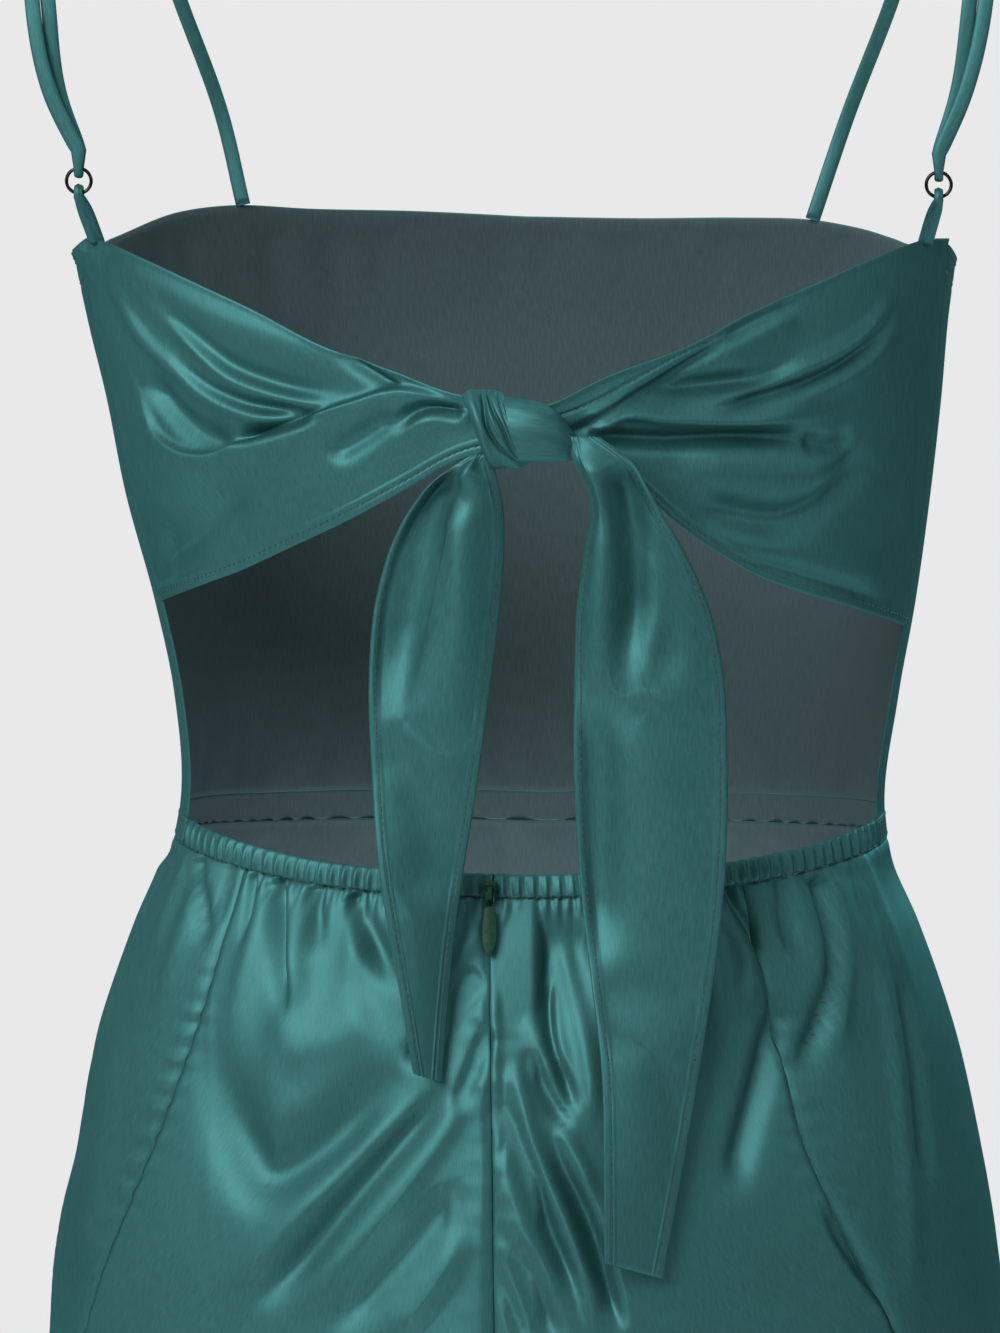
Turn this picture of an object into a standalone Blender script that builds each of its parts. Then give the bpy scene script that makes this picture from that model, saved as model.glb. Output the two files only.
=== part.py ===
"""A maxi dress with an open back, held as it hangs when it is worn, with nobody in it.

The front bodice runs from side seam to side seam. Two back wings are tied in a knot at the
centre back, and their tie ends hang down over the cut-out. A narrow gathered casing carries the
waist, and the long skirt closes with a zip in its centre-back seam. Thin straps run over the
shoulders, through a ring at each wing's corner and back up to a slider.

The dress faces -Y, its back is towards +Y, and the wearer's left is +X. Sizes are in
millimetres and become metres where a mesh is made. The origin is the middle between the two
places where the straps rest on the shoulders. Angles go round the body in degrees from the
centre back, positive towards the wearer's left, so that 180 is the centre front.
"""

import math
from collections import namedtuple

import bmesh
import bpy
import numpy as np

MM = 0.001

# Driving dimensions, in millimetres.
WALL = 1.4  # cloth of the panels
GAP = 0.3  # between pieces that are sewn or that touch
HEM_Z = -1360.0
TAPE_LENGTH = 200.0
TAPE_WIDTH = 22.0
RIB_PITCH = 4.4  # gathers of the elastic casing
RIB_HEIGHT = 1.4
STRAP_WIDTH = 5.2
STRAP_THICKNESS = 2.2
STRAP_WIDTH_IN_RING = 3.0
TAB_END_RISE = 0.7  # its slanted end clears the wing's edge by this much more
RING_RADIUS = 4.2  # to the middle of the wire
RING_WIRE = 0.6
PULL_LENGTH = 21.0
PULL_WIDTH = 6.0
PULL_REST_DEG = 17.0  # how far the pull tab leans out where it lies on the skirt
SIDE_SEAM = {"left": 74.0, "right": -78.0}
KNOT_SIDE = {"left": 5.5, "right": -8.2}  # where each wing runs into the knot
TAB_ANGLE = {"left": 67.5, "right": -68.0}
SIDES = ("left", "right")

# The hollow form that the dress keeps: one row for each level.
Section = namedtuple("Section", "z centre half_width front back")
FORM = (
    Section(-1400.0, 0.0, 268.0, 205.0, 217.0),
    Section(-1150.0, 0.0, 242.0, 176.0, 186.0),
    Section(-900.0, 0.0, 214.0, 146.0, 155.0),
    Section(-640.0, 0.0, 182.0, 113.0, 124.0),
    Section(-545.0, 0.0, 167.5, 105.0, 117.0),
    Section(-480.0, 0.0, 157.0, 102.0, 111.0),
    Section(-434.0, 0.0, 146.4, 98.0, 101.0),
    Section(-400.0, 0.0, 134.5, 93.0, 91.0),
    Section(-376.0, 0.0, 124.5, 86.0, 81.0),
    Section(-362.0, -0.5, 121.8, 84.0, 79.0),
    Section(-320.0, -2.0, 124.6, 88.0, 81.0),
    Section(-287.0, -1.5, 130.8, 94.0, 86.0),
    Section(-250.0, 1.0, 138.2, 102.0, 90.0),
    Section(-215.0, 2.6, 143.5, 106.0, 90.0),
    Section(-190.0, 4.6, 147.5, 104.0, 88.0),
    Section(-165.0, 5.6, 151.3, 96.0, 84.0),
    Section(-140.0, 6.0, 152.0, 84.0, 78.0),
)

# The front's upper edge, by the angle away from the centre front.
Neckline = namedtuple("Neckline", "angle left right")
NECKLINE = (
    Neckline(0.0, -156.5, -156.5),
    Neckline(15.0, -154.5, -157.0),
    Neckline(30.0, -153.5, -156.5),
    Neckline(42.0, -152.0, -157.0),
    Neckline(52.0, -154.0, -160.0),
    Neckline(65.0, -161.0, -166.0),
    Neckline(80.0, -168.0, -170.0),
    Neckline(95.0, -169.0, -171.0),
    Neckline(108.0, -163.0, -165.0),
)

# The casing's upper edge and its height, by the angle away from the centre back.
Waist = namedtuple("Waist", "angle top height")
WAIST = (
    Waist(0.0, -373.0, 7.8),
    Waist(30.0, -371.0, 7.8),
    Waist(45.0, -368.0, 8.0),
    Waist(60.0, -364.5, 8.4),
    Waist(75.0, -361.5, 9.0),
    Waist(90.0, -359.5, 9.5),
    Waist(135.0, -361.5, 10.2),
    Waist(180.0, -364.0, 10.6),
)

# The wings' upper and lower edges, by the angle away from the centre back.
WingEdge = namedtuple("WingEdge", "angle top left_bottom right_bottom out")
WING_EDGES = (
    WingEdge(5.0, -210.5, -230.5, -226.0, 16.0),
    WingEdge(14.0, -202.5, -242.5, -237.0, 11.0),
    WingEdge(22.0, -195.5, -252.5, -254.0, 8.0),
    WingEdge(32.0, -184.0, -262.5, -269.0, 5.5),
    WingEdge(42.0, -175.0, -271.0, -277.5, 3.5),
    WingEdge(52.0, -167.5, -277.0, -283.0, 2.0),
    WingEdge(65.0, -161.5, -282.5, -289.0, 0.6),
    WingEdge(79.0, -161.0, -287.5, -294.0, 0.0),
)

# Drape folds of each wing: how far down the panel the ridge runs, from 0 at its upper edge to 1
# at its lower one, where it leaves the side seam, half way and at the knot.
Drape = namedtuple("Drape", "at_side halfway at_knot height width")
DRAPES = {
    "left": (
        Drape(0.12, 0.12, 0.10, 1.8, 0.08),
        Drape(0.33, 0.44, 0.36, 3.0, 0.08),
        Drape(0.52, 0.60, 0.62, 3.4, 0.09),
        Drape(0.86, 0.84, 0.87, 2.0, 0.09),
    ),
    "right": (
        Drape(0.12, 0.28, 0.16, 2.6, 0.08),
        Drape(0.27, 0.46, 0.42, 3.2, 0.08),
        Drape(0.66, 0.68, 0.66, 3.2, 0.12),
        Drape(0.92, 0.90, 0.90, 1.6, 0.07),
    ),
}

# The skirt's long seams, as angles round the form.
SkirtSeam = namedtuple("SkirtSeam", "z left centre right")
SKIRT_SEAMS = (
    SkirtSeam(-1400.0, 78.0, 2.0, -76.0),
    SkirtSeam(-700.0, 74.0, 2.0, -68.0),
    SkirtSeam(-560.0, 68.0, 2.0, -56.0),
    SkirtSeam(-522.0, 63.3, 2.2, -49.0),
    SkirtSeam(-490.0, 57.5, 2.5, -43.0),
    SkirtSeam(-460.0, 52.6, 2.8, -38.5),
    SkirtSeam(-435.0, 50.0, 3.2, -37.3),
    SkirtSeam(-360.0, 50.0, 4.5, -37.0),
)

# Short folds that the casing's gathers send down into the skirt.
Gather = namedtuple("Gather", "angle height width length")
GATHERS = (
    Gather(69.0, 2.0, 2.6, 45.0),
    Gather(60.0, 2.4, 2.6, 60.0),
    Gather(42.0, 2.2, 2.4, 70.0),
    Gather(33.0, 2.6, 2.6, 90.0),
    Gather(24.0, 1.8, 2.2, 40.0),
    Gather(16.0, 1.6, 2.2, 45.0),
    Gather(-12.0, 2.0, 2.4, 60.0),
    Gather(-20.0, 1.6, 2.2, 40.0),
    Gather(-28.0, 2.2, 2.4, 70.0),
    Gather(-48.0, 2.4, 2.6, 80.0),
    Gather(-58.0, 1.8, 2.4, 45.0),
    Gather(-68.0, 2.2, 2.6, 60.0),
)

# Long soft flutes that grow towards the hem.
Flute = namedtuple("Flute", "angle height width")
FLUTES = (
    Flute(14.0, 13.0, 9.0),
    Flute(46.0, 17.0, 10.0),
    Flute(80.0, 11.0, 9.0),
    Flute(112.0, 16.0, 11.0),
    Flute(148.0, 12.0, 10.0),
    Flute(180.0, 15.0, 10.0),
    Flute(-148.0, 15.0, 10.0),
    Flute(-116.0, 12.0, 10.0),
    Flute(-84.0, 15.0, 10.0),
    Flute(-52.0, 12.0, 9.0),
    Flute(-20.0, 16.0, 10.0),
)
FLUTE_START_Z = -540.0
FLUTE_SHARE = 0.6  # of its height that a flute has at the hem
SKIRT_ROWS = 16

# The two hanging tie ends: where their edges and their middle lie, how deep they fold, and how
# much nearer to the back their wearer's-left edge lies than the other one, for each mm across.
TailRow = namedtuple("TailRow", "z inner outer y fold slope")
TAILS = {
    "left": (
        TailRow(-235.2, 6.4, 21.5, 112.0, 1.5, 0.0),
        TailRow(-247.0, 3.8, 33.8, 112.0, 4.0, 0.0),
        TailRow(-257.0, 3.4, 39.6, 111.0, 5.0, -0.05),
        TailRow(-274.0, 4.3, 45.3, 110.0, 5.0, -0.08),
        TailRow(-307.0, 8.4, 48.6, 108.0, 4.0, -0.08),
        TailRow(-339.0, 12.8, 47.4, 107.0, 3.0, 0.0),
        TailRow(-368.0, 17.4, 45.0, 106.5, 2.6, 0.15),
        TailRow(-388.0, 20.2, 41.8, 106.5, 2.0, 0.25),
        TailRow(-412.0, 22.5, 37.6, 107.0, 1.4, 0.3),
        TailRow(-437.5, 24.3, 33.5, 108.0, 0.8, 0.3),
    ),
    "right": (
        TailRow(-227.0, -17.6, -28.5, 115.4, 2.5, 0.0),
        TailRow(-239.0, -23.4, -43.5, 116.8, 3.5, -0.05),
        TailRow(-247.0, -25.0, -48.0, 116.5, 4.0, -0.08),
        TailRow(-260.0, -23.4, -55.5, 115.3, 5.0, -0.1),
        TailRow(-279.0, -20.8, -64.0, 113.0, 5.0, -0.1),
        TailRow(-300.0, -20.0, -68.8, 110.8, 4.5, -0.1),
        TailRow(-330.0, -19.8, -70.4, 109.5, 4.0, -0.1),
        TailRow(-367.0, -21.2, -69.7, 108.5, 3.4, -0.08),
        TailRow(-396.0, -24.4, -66.7, 108.5, 2.8, 0.05),
        TailRow(-436.0, -29.6, -60.9, 112.0, 1.8, 0.25),
        TailRow(-475.0, -30.8, -54.2, 117.0, 1.0, 0.3),
        TailRow(-500.0, -31.0, -49.6, 119.0, 0.6, 0.3),
    ),
}
TAIL_TIP_SLANT = {"left": 3.5, "right": 6.5}  # the inner or outer corner hangs this much lower
TAIL_TIP_LOWER = {"left": "inner", "right": "outer"}

# The knot at the centre back: the bundle that runs through it, and the band round the bundle.
CoreRow = namedtuple("CoreRow", "x y z half_height half_depth")
KNOT_CORE = (
    CoreRow(-20.0, 107.5, -223.4, 7.6, 2.7),
    CoreRow(-17.3, 108.2, -223.4, 7.8, 2.8),
    CoreRow(-14.5, 111.0, -223.0, 8.2, 5.6),
    CoreRow(-10.0, 112.4, -222.2, 9.4, 7.6),
    CoreRow(-5.0, 112.8, -221.6, 10.3, 8.0),
    CoreRow(0.0, 112.6, -221.3, 10.7, 8.0),
    CoreRow(6.0, 111.8, -221.1, 10.8, 8.0),
    CoreRow(12.0, 110.2, -220.8, 10.4, 6.8),
    CoreRow(17.0, 107.8, -220.5, 9.2, 3.6),
)
WRAP_X = 6.0
WRAP_WIDTH = 13.0
WRAP_THICKNESS = 2.4
WRAP_LEAN = 4.0  # how far the wrap's top lies to the left of its middle

# Each strap's middle line between the front neckline and its ring, and where it lies at the side.
StrapRow = namedtuple("StrapRow", "y z left right")
STRAP_ROUTE = (
    StrapRow(-70.5, -120.0, 113.5, -109.5),
    StrapRow(-62.0, -79.0, 127.5, -125.0),
    StrapRow(-45.0, -36.0, 141.0, -138.0),
    StrapRow(-25.0, -10.0, 149.0, -146.0),
    StrapRow(-4.0, 1.1, 153.0, -149.0),
    StrapRow(17.0, -8.0, 158.0, -151.5),
    StrapRow(34.0, -36.0, 165.0, -154.0),
    StrapRow(44.0, -80.0, 167.0, -155.5),
    StrapRow(46.5, -112.0, 160.5, -148.5),
)
RETURN_ROUTE = (
    StrapRow(42.2, -112.0, 158.0, -146.0),
    StrapRow(42.5, -80.0, 161.8, -150.2),
    StrapRow(40.0, -58.0, 164.0, -152.5),
)
NECK_FOOT_ANGLE = {"left": 41.0, "right": 42.5}  # away from the centre front
RING_PLACE = {"left": (151.4, 44.5, -141.0), "right": (-140.1, 44.5, -142.0)}
SLIDER_SIZE = (8.4, 1.2, 7.2)
SLIDER_WINDOW = (6.0, 1.8)
SLIDER_WINDOW_OFFSET = 1.7
SLIDER_Z = -49.0
SLIDER_TILT_DEG = 10.0  # it leans with the strap that it lies on

# Bust, waist and hip ease is in the form, and this is the soft fullness over the front's cups.
CUP_X = 68.0
CUP_Z = -212.0
CUP_HEIGHT = 9.0
CUP_WIDTH = 44.0
CUP_DROP = 36.0

Finish = namedtuple("Finish", "name colour roughness metallic")
SATIN = Finish("emerald satin", (0.035, 0.155, 0.145), 0.38, 0.0)
TAPE_CLOTH = Finish("zip tape", (0.020, 0.075, 0.062), 0.80, 0.0)
ENAMEL = Finish("green enamel", (0.010, 0.045, 0.036), 0.35, 0.3)
GUNMETAL = Finish("gunmetal", (0.060, 0.055, 0.057), 0.28, 1.0)


def clear_scene():
    """Removes whatever the scene holds, and gives the dress and its cutters a collection each."""
    for thing in list(bpy.data.objects):
        bpy.data.objects.remove(thing, do_unlink=True)
    collections = []
    for name in ("maxi_dress", "cutters"):
        collection = bpy.data.collections.new(name)
        bpy.context.scene.collection.children.link(collection)
        collections.append(collection)
    return collections


DRESS, CUTTERS = clear_scene()


def material(finish):
    """The Principled material of a finish, made once."""
    found = bpy.data.materials.get(finish.name)
    if found:
        return found
    made = bpy.data.materials.new(finish.name)
    made.use_nodes = True
    shader = made.node_tree.nodes["Principled BSDF"]
    shader.inputs["Base Color"].default_value = (*finish.colour, 1.0)
    shader.inputs["Roughness"].default_value = finish.roughness
    shader.inputs["Metallic"].default_value = finish.metallic
    return made


def add_mesh(name, points, faces, finish):
    """A mesh object from points in millimetres, with its faces turned outwards."""
    cage = bmesh.new()
    corners = [cage.verts.new(tuple(float(value) * MM for value in point)) for point in points]
    for face in faces:
        cage.faces.new([corners[index] for index in face])
    bmesh.ops.recalc_face_normals(cage, faces=cage.faces)
    mesh = bpy.data.meshes.new(name)
    cage.to_mesh(mesh)
    cage.free()
    mesh.shade_smooth()
    mesh.set_sharp_from_angle(angle=math.radians(50.0))
    mesh.materials.append(material(finish))
    thing = bpy.data.objects.new(name, mesh)
    DRESS.objects.link(thing)
    return thing


def add_wall(name, inner, outer, finish):
    """A closed wall between an inner and an outer grid of points, rows by columns."""
    rows, columns = inner.shape[:2]
    points = np.concatenate([inner.reshape(-1, 3), outer.reshape(-1, 3)])
    index = np.arange(rows * columns).reshape(rows, columns)
    other = index + rows * columns
    faces = []
    for row in range(rows - 1):
        for column in range(columns - 1):
            ring = [(row, column), (row, column + 1), (row + 1, column + 1), (row + 1, column)]
            faces.append([index[place] for place in ring])
            faces.append([other[place] for place in reversed(ring)])
    border = [(0, column) for column in range(columns)]
    border += [(row, columns - 1) for row in range(1, rows)]
    border += [(rows - 1, column) for column in range(columns - 2, -1, -1)]
    border += [(row, 0) for row in range(rows - 2, 0, -1)]
    for here, after in zip(border, border[1:] + border[:1]):
        faces.append([index[after], index[here], other[here], other[after]])
    return add_mesh(name, points, faces, finish)


def add_loft(name, sections, finish, closed=False):
    """A skin over cross-sections of equal point counts, capped at its ends or joined in a loop."""
    count, sides = sections.shape[:2]
    index = np.arange(count * sides).reshape(count, sides)
    faces = []
    for step in range(count if closed else count - 1):
        here = index[step]
        after = index[(step + 1) % count]
        for side in range(sides):
            beside = (side + 1) % sides
            faces.append([here[side], here[beside], after[beside], after[side]])
    if not closed:
        faces.append(list(index[0]))
        faces.append(list(reversed(index[-1])))
    return add_mesh(name, sections.reshape(-1, 3), faces, finish)


def smooth(places, values, at):
    """A cubic through the rows of a table, each row's slope taken from its neighbours."""
    places = np.asarray(places, float)
    values = np.asarray(values, float)
    at = np.clip(at, places[0], places[-1])
    slopes = np.gradient(values, places)
    low = np.clip(np.searchsorted(places, at, side="right") - 1, 0, len(places) - 2)
    step = places[low + 1] - places[low]
    part = (at - places[low]) / step
    start = (1 + 2 * part) * (1 - part) ** 2 * values[low]
    start += part * (1 - part) ** 2 * step * slopes[low]
    end = part**2 * (3 - 2 * part) * values[low + 1]
    end += part**2 * (part - 1) * step * slopes[low + 1]
    return start + end


def column_at(table, key, column, at):
    """The named column of a table, read at a value of its key column."""
    return smooth([getattr(row, key) for row in table], [getattr(row, column) for row in table], at)


def bump(distance, width):
    """A rounded ridge, 1 at its middle."""
    return np.exp(-((distance / width) ** 2))


def rise(value, start, end):
    """0 at start and before it, 1 at end and after it, smooth between."""
    part = np.clip((value - start) / (end - start), 0.0, 1.0)
    return part * part * (3 - 2 * part)


def away(angle, other):
    """The turn between two angles round the body, between -180 and 180 degrees."""
    return (angle - other + 180.0) % 360.0 - 180.0


def cups(x, z):
    """The fullness of the front over the bust, shared evenly to both sides of the middle."""
    side = bump(x - CUP_X, CUP_WIDTH) + bump(x + CUP_X, CUP_WIDTH)
    return CUP_HEIGHT * side * bump(z - CUP_Z, CUP_DROP)


def on_form(angle, z, out):
    """Points on the hollow form, moved out level from it by a distance."""
    turn = np.radians(angle)
    centre = column_at(FORM, "z", "centre", z)
    width = column_at(FORM, "z", "half_width", z)
    front = column_at(FORM, "z", "front", z)
    back = column_at(FORM, "z", "back", z)
    x = centre + (width + out) * np.sin(turn)
    depth = np.where(np.cos(turn) > 0, back, front)
    y = (depth + out) * np.cos(turn)
    y = y - cups(x - centre, z) * rise(-np.cos(turn), 0.0, 0.6)
    return np.stack([x, y, z + 0 * x], axis=-1)


def turn_for(length, angle, z):
    """The turn in degrees that moves a point on the form along it by a length."""
    near = on_form(np.array([angle - 0.5, angle + 0.5]), np.array([z, z]), 0.0)
    return length / float(np.linalg.norm(near[1] - near[0]))


def waist_top(angle):
    """The height of the seam between the bodice and the casing."""
    return column_at(WAIST, "angle", "top", np.abs(away(angle, 0.0)))


def waist_bottom(angle):
    """The height of the seam between the casing and the skirt."""
    return waist_top(angle) - column_at(WAIST, "angle", "height", np.abs(away(angle, 0.0)))


def neckline(angle):
    """The height of the front's upper edge."""
    turn = away(angle, 180.0)
    left = column_at(NECKLINE, "angle", "left", np.abs(turn))
    right = column_at(NECKLINE, "angle", "right", np.abs(turn))
    return np.where(turn < 0, left, right)


def panel(name, angles, tops, bottoms, rows, out, finish, wall=WALL):
    """A wall on the form between two edges, with out(angle, z) for the folds."""
    share = np.linspace(0.0, 1.0, rows)[:, None] if np.isscalar(rows) else rows[:, None]
    z = tops + (bottoms - tops) * share
    angle = np.broadcast_to(angles, z.shape)
    fold = out(angle, z)
    inner = on_form(angle, z, fold)
    outer = on_form(angle, z, fold + wall)
    return add_wall(name, inner, outer, finish)


def flat(angle, z):
    """No folds."""
    return 0.0 * angle * z


# ---------------------------------------------------------------------------- bodice


def build_bodice_front(columns=34, rows=10):
    """The front, from one side seam round to the other and down to the waist seam."""
    left = SIDE_SEAM["left"]
    right = SIDE_SEAM["right"] + 360.0
    angles = np.linspace(left, right, columns)
    tops = neckline(angles)
    bottoms = waist_top(angles) + GAP
    panel("bodice_front", angles, tops, bottoms, rows, flat, SATIN)


def drape_height(side, share, down):
    """The folds of a wing. share runs from the side seam to the knot, down from top to hem."""
    height = np.zeros_like(share * down)
    for drape in DRAPES[side]:
        ridge = smooth([0.0, 0.5, 1.0], [drape.at_side, drape.halfway, drape.at_knot], share)
        grown = drape.height * (0.25 + 0.75 * rise(share, 0.0, 0.45))
        height += grown * bump(down - ridge, drape.width)
    return height


def build_wing(side, columns=20, rows=16):
    """One back wing, from the side seam to where it is gathered into the knot."""
    seam = SIDE_SEAM[side]
    inward = math.copysign(1.0, seam)
    seam -= inward * turn_for(GAP, seam, -220.0)
    share = np.linspace(0.0, 1.0, columns)[None, :]
    down = np.linspace(0.0, 1.0, rows)[:, None]
    angle = seam + (KNOT_SIDE[side] - seam) * share
    top = column_at(WING_EDGES, "angle", "top", np.abs(angle))
    bottom = column_at(WING_EDGES, "angle", f"{side}_bottom", np.abs(angle))
    lift = column_at(WING_EDGES, "angle", "out", np.abs(angle))
    z = top + (bottom - top) * down
    angle = np.broadcast_to(angle, z.shape)
    out = lift + drape_height(side, share, down) * rise(share, 0.0, 0.12)
    inner = on_form(angle, z, out)
    outer = on_form(angle, z, out + WALL)
    add_wall(f"bodice_back_{side}", inner, outer, SATIN)


# ---------------------------------------------------------------------------- knot and tie ends


def build_knot_core(sides=14):
    """The bundle of cloth that runs through the knot, from one wing's end to the other's."""
    turn = np.linspace(0.0, 2.0 * math.pi, sides, endpoint=False)
    sections = []
    for row in KNOT_CORE:
        y = row.y + row.half_depth * np.cos(turn)
        z = row.z + row.half_height * np.sin(turn)
        sections.append(np.stack([np.full(sides, row.x), y, z], axis=-1))
    add_loft("knot_core", np.array(sections), SATIN)


def build_knot_wrap(stations=22, sides=8):
    """The band of cloth that goes once round the bundle, leaning to the left at its top."""
    across = np.linspace(0.0, 2.0 * math.pi, sides, endpoint=False)
    y, z, half_height, half_depth = (
        float(column_at(KNOT_CORE, "x", column, WRAP_X))
        for column in ("y", "z", "half_height", "half_depth")
    )
    clear = 2 * GAP + WRAP_THICKNESS / 2
    reach = np.array([0.0, half_depth + clear, half_height + clear])
    sections = []
    for turn in np.linspace(0.0, 2.0 * math.pi, stations, endpoint=False):
        middle = np.array([WRAP_X + WRAP_LEAN * math.sin(turn), y, z])
        outward = np.array([0.0, math.cos(turn), math.sin(turn)])
        section = middle + outward * reach
        section = section + np.outer(np.cos(across) * WRAP_WIDTH / 2, [1.0, 0.0, 0.0])
        section = section + np.outer(np.sin(across) * WRAP_THICKNESS / 2, outward)
        sections.append(section)
    add_loft("knot_wrap", np.array(sections), SATIN, closed=True)


def build_tail(side, columns=8, rows=18):
    """A hanging tie end: a folded strip that opens out below the knot, with a slanted tip."""
    table = TAILS[side][::-1]
    share = np.linspace(0.0, 1.0, columns)[None, :]
    top = TAILS[side][0].z
    level = top + (TAILS[side][-1].z - top) * np.linspace(0.0, 1.0, rows)[:, None]
    inner_x = column_at(table, "z", "inner", level)
    outer_x = column_at(table, "z", "outer", level)
    middle_y = column_at(table, "z", "y", level)
    fold = column_at(table, "z", "fold", level)
    x = inner_x + (outer_x - inner_x) * share
    wave = np.cos(2.0 * math.pi * 1.5 * (share - 0.12))
    y = middle_y + fold * (wave - 1.6 * (2.0 * share - 1.0) ** 2)
    y = y + column_at(table, "z", "slope", level) * (x - (inner_x + outer_x) / 2)
    lower = share if TAIL_TIP_LOWER[side] == "outer" else 1.0 - share
    z = level - TAIL_TIP_SLANT[side] * (lower - 0.5) * rise(-level, -top, -TAILS[side][-1].z)
    grid = np.stack([x, y, z + 0 * x], axis=-1)
    along_row = np.gradient(grid, axis=1)
    down = np.gradient(grid, axis=0)
    normal = np.cross(along_row, down)
    normal /= np.linalg.norm(normal, axis=-1, keepdims=True)
    if normal[..., 1].mean() < 0:
        normal = -normal
    half = normal * (WALL / 2)
    add_wall(f"tie_tail_{side}", grid - half, grid + half, SATIN)


# ---------------------------------------------------------------------------- waist


def build_casing(side):
    """One half of the gathered casing, from the front's side edge to the zip."""
    seam = SIDE_SEAM[side]
    toward = math.copysign(1.0, seam)
    start = seam - toward * turn_for(GAP, seam, -365.0)
    middle = column_at(SKIRT_SEAMS, "z", "centre", -376.0)
    end = middle + toward * turn_for(GAP / 2, middle, -376.0)
    path = on_form(np.linspace(start, end, 60), np.full(60, -368.0), 0.0)
    length = float(np.linalg.norm(np.diff(path, axis=0), axis=1).sum())
    ribs = round(length / RIB_PITCH)
    angles = np.linspace(start, end, 4 * ribs + 1)
    wave = 0.5 - 0.5 * np.cos(np.arange(4 * ribs + 1) * math.pi / 2)
    tops = waist_top(angles)
    bottoms = waist_bottom(angles) + GAP
    z = np.stack([tops, bottoms])
    angle = np.broadcast_to(angles, z.shape)
    inner = on_form(angle, z, 0.0)
    outer = on_form(angle, z, WALL - 0.4 + RIB_HEIGHT * wave[None, :])
    add_wall(f"waist_casing_back_{side}", inner, outer, SATIN)


def build_waistband_front(columns=40):
    """The flat band across the front, between the two side edges."""
    angles = np.linspace(SIDE_SEAM["left"], SIDE_SEAM["right"] + 360.0, columns)
    tops = waist_top(angles)
    bottoms = waist_bottom(angles) + GAP
    panel("waistband_front", angles, tops, bottoms, 2, flat, SATIN)


# ---------------------------------------------------------------------------- skirt


def skirt_out(angle, z):
    """The folds of the skirt: short gathers under the casing and long flutes at the hem."""
    below = waist_bottom(angle) - z
    out = np.zeros_like(angle * z)
    for gather in GATHERS:
        fade = rise(below, -4.0, 10.0) * (1.0 - rise(below, 0.35 * gather.length, gather.length))
        out += gather.height * bump(away(angle, gather.angle), gather.width) * fade
    grown = FLUTE_SHARE * rise(-z, -FLUTE_START_Z, -HEM_Z)
    for flute in FLUTES:
        out += grown * flute.height * (bump(away(angle, flute.angle), flute.width) - 0.35)
    return out


def skirt_rows():
    """Shares from waist to hem that lie closer together near the waist."""
    even = np.linspace(0.0, 1.0, SKIRT_ROWS)[:, None]
    return 0.2 * even + 0.8 * even**2.6


def build_skirt_piece(name, first, last, columns):
    """A skirt panel between two seam lines, each a function of the height."""
    share = np.linspace(0.0, 1.0, columns)[None, :]
    down = skirt_rows()
    top_edge = -376.0
    angle = first(top_edge) + (last(top_edge) - first(top_edge)) * share
    for _ in range(3):
        top = waist_bottom(angle)
        z = top + (HEM_Z - top) * down
        angle = first(z) + (last(z) - first(z)) * share
    out = skirt_out(angle, z)
    add_wall(name, on_form(angle, z, out), on_form(angle, z, out + WALL), SATIN)


def seam_line(column, shift, turn=0.0):
    """A skirt seam's angle by height, moved aside by half the gap between two panels."""

    def line(z):
        z = np.asarray(z, float)
        middle = column_at(SKIRT_SEAMS, "z", column, z) + turn
        radius = 0.72 * column_at(FORM, "z", "half_width", z)
        return middle + shift * np.degrees(GAP / radius)

    return line


def build_skirt():
    """The skirt: a wide front that comes round to the back, and two back panels."""
    build_skirt_piece("skirt_front", seam_line("left", 0.5), seam_line("right", -0.5, 360.0), 38)
    build_skirt_piece("skirt_back_left", seam_line("left", -0.5), seam_line("centre", 0.5), 22)
    build_skirt_piece("skirt_back_right", seam_line("centre", -0.5), seam_line("right", 0.5), 22)


# ---------------------------------------------------------------------------- zip


def build_zip_tape(columns=4):
    """The zip's tape, flat against the inside of the casing's ends and of the skirt's seam."""
    seam_z = waist_bottom(0.0)
    levels = seam_z + (HEM_Z - seam_z) * skirt_rows()
    levels = levels[levels > seam_z - TAPE_LENGTH - 10.0]
    z = np.concatenate([[waist_top(0.0)], levels])[:, None]
    middle = column_at(SKIRT_SEAMS, "z", "centre", z)
    half_turn = np.degrees(TAPE_WIDTH / 2 / column_at(FORM, "z", "half_width", z))
    angle = middle + half_turn * np.linspace(1.0, -1.0, columns)[None, :]
    z = np.broadcast_to(z, angle.shape)
    out = np.minimum(skirt_out(angle, z), 0.0) - GAP
    add_wall("zip_tape", on_form(angle, z, out - 1.0), on_form(angle, z, out), TAPE_CLOTH)


def zip_hinge():
    """The middle of the slider's bridge, where the pull tab turns."""
    z = -378.5
    angle = column_at(SKIRT_SEAMS, "z", "centre", z)
    place = on_form(np.array([angle]), np.array([z]), 0.0)[0]
    return np.array([place[0], place[1] + 6.1, z])


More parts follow.
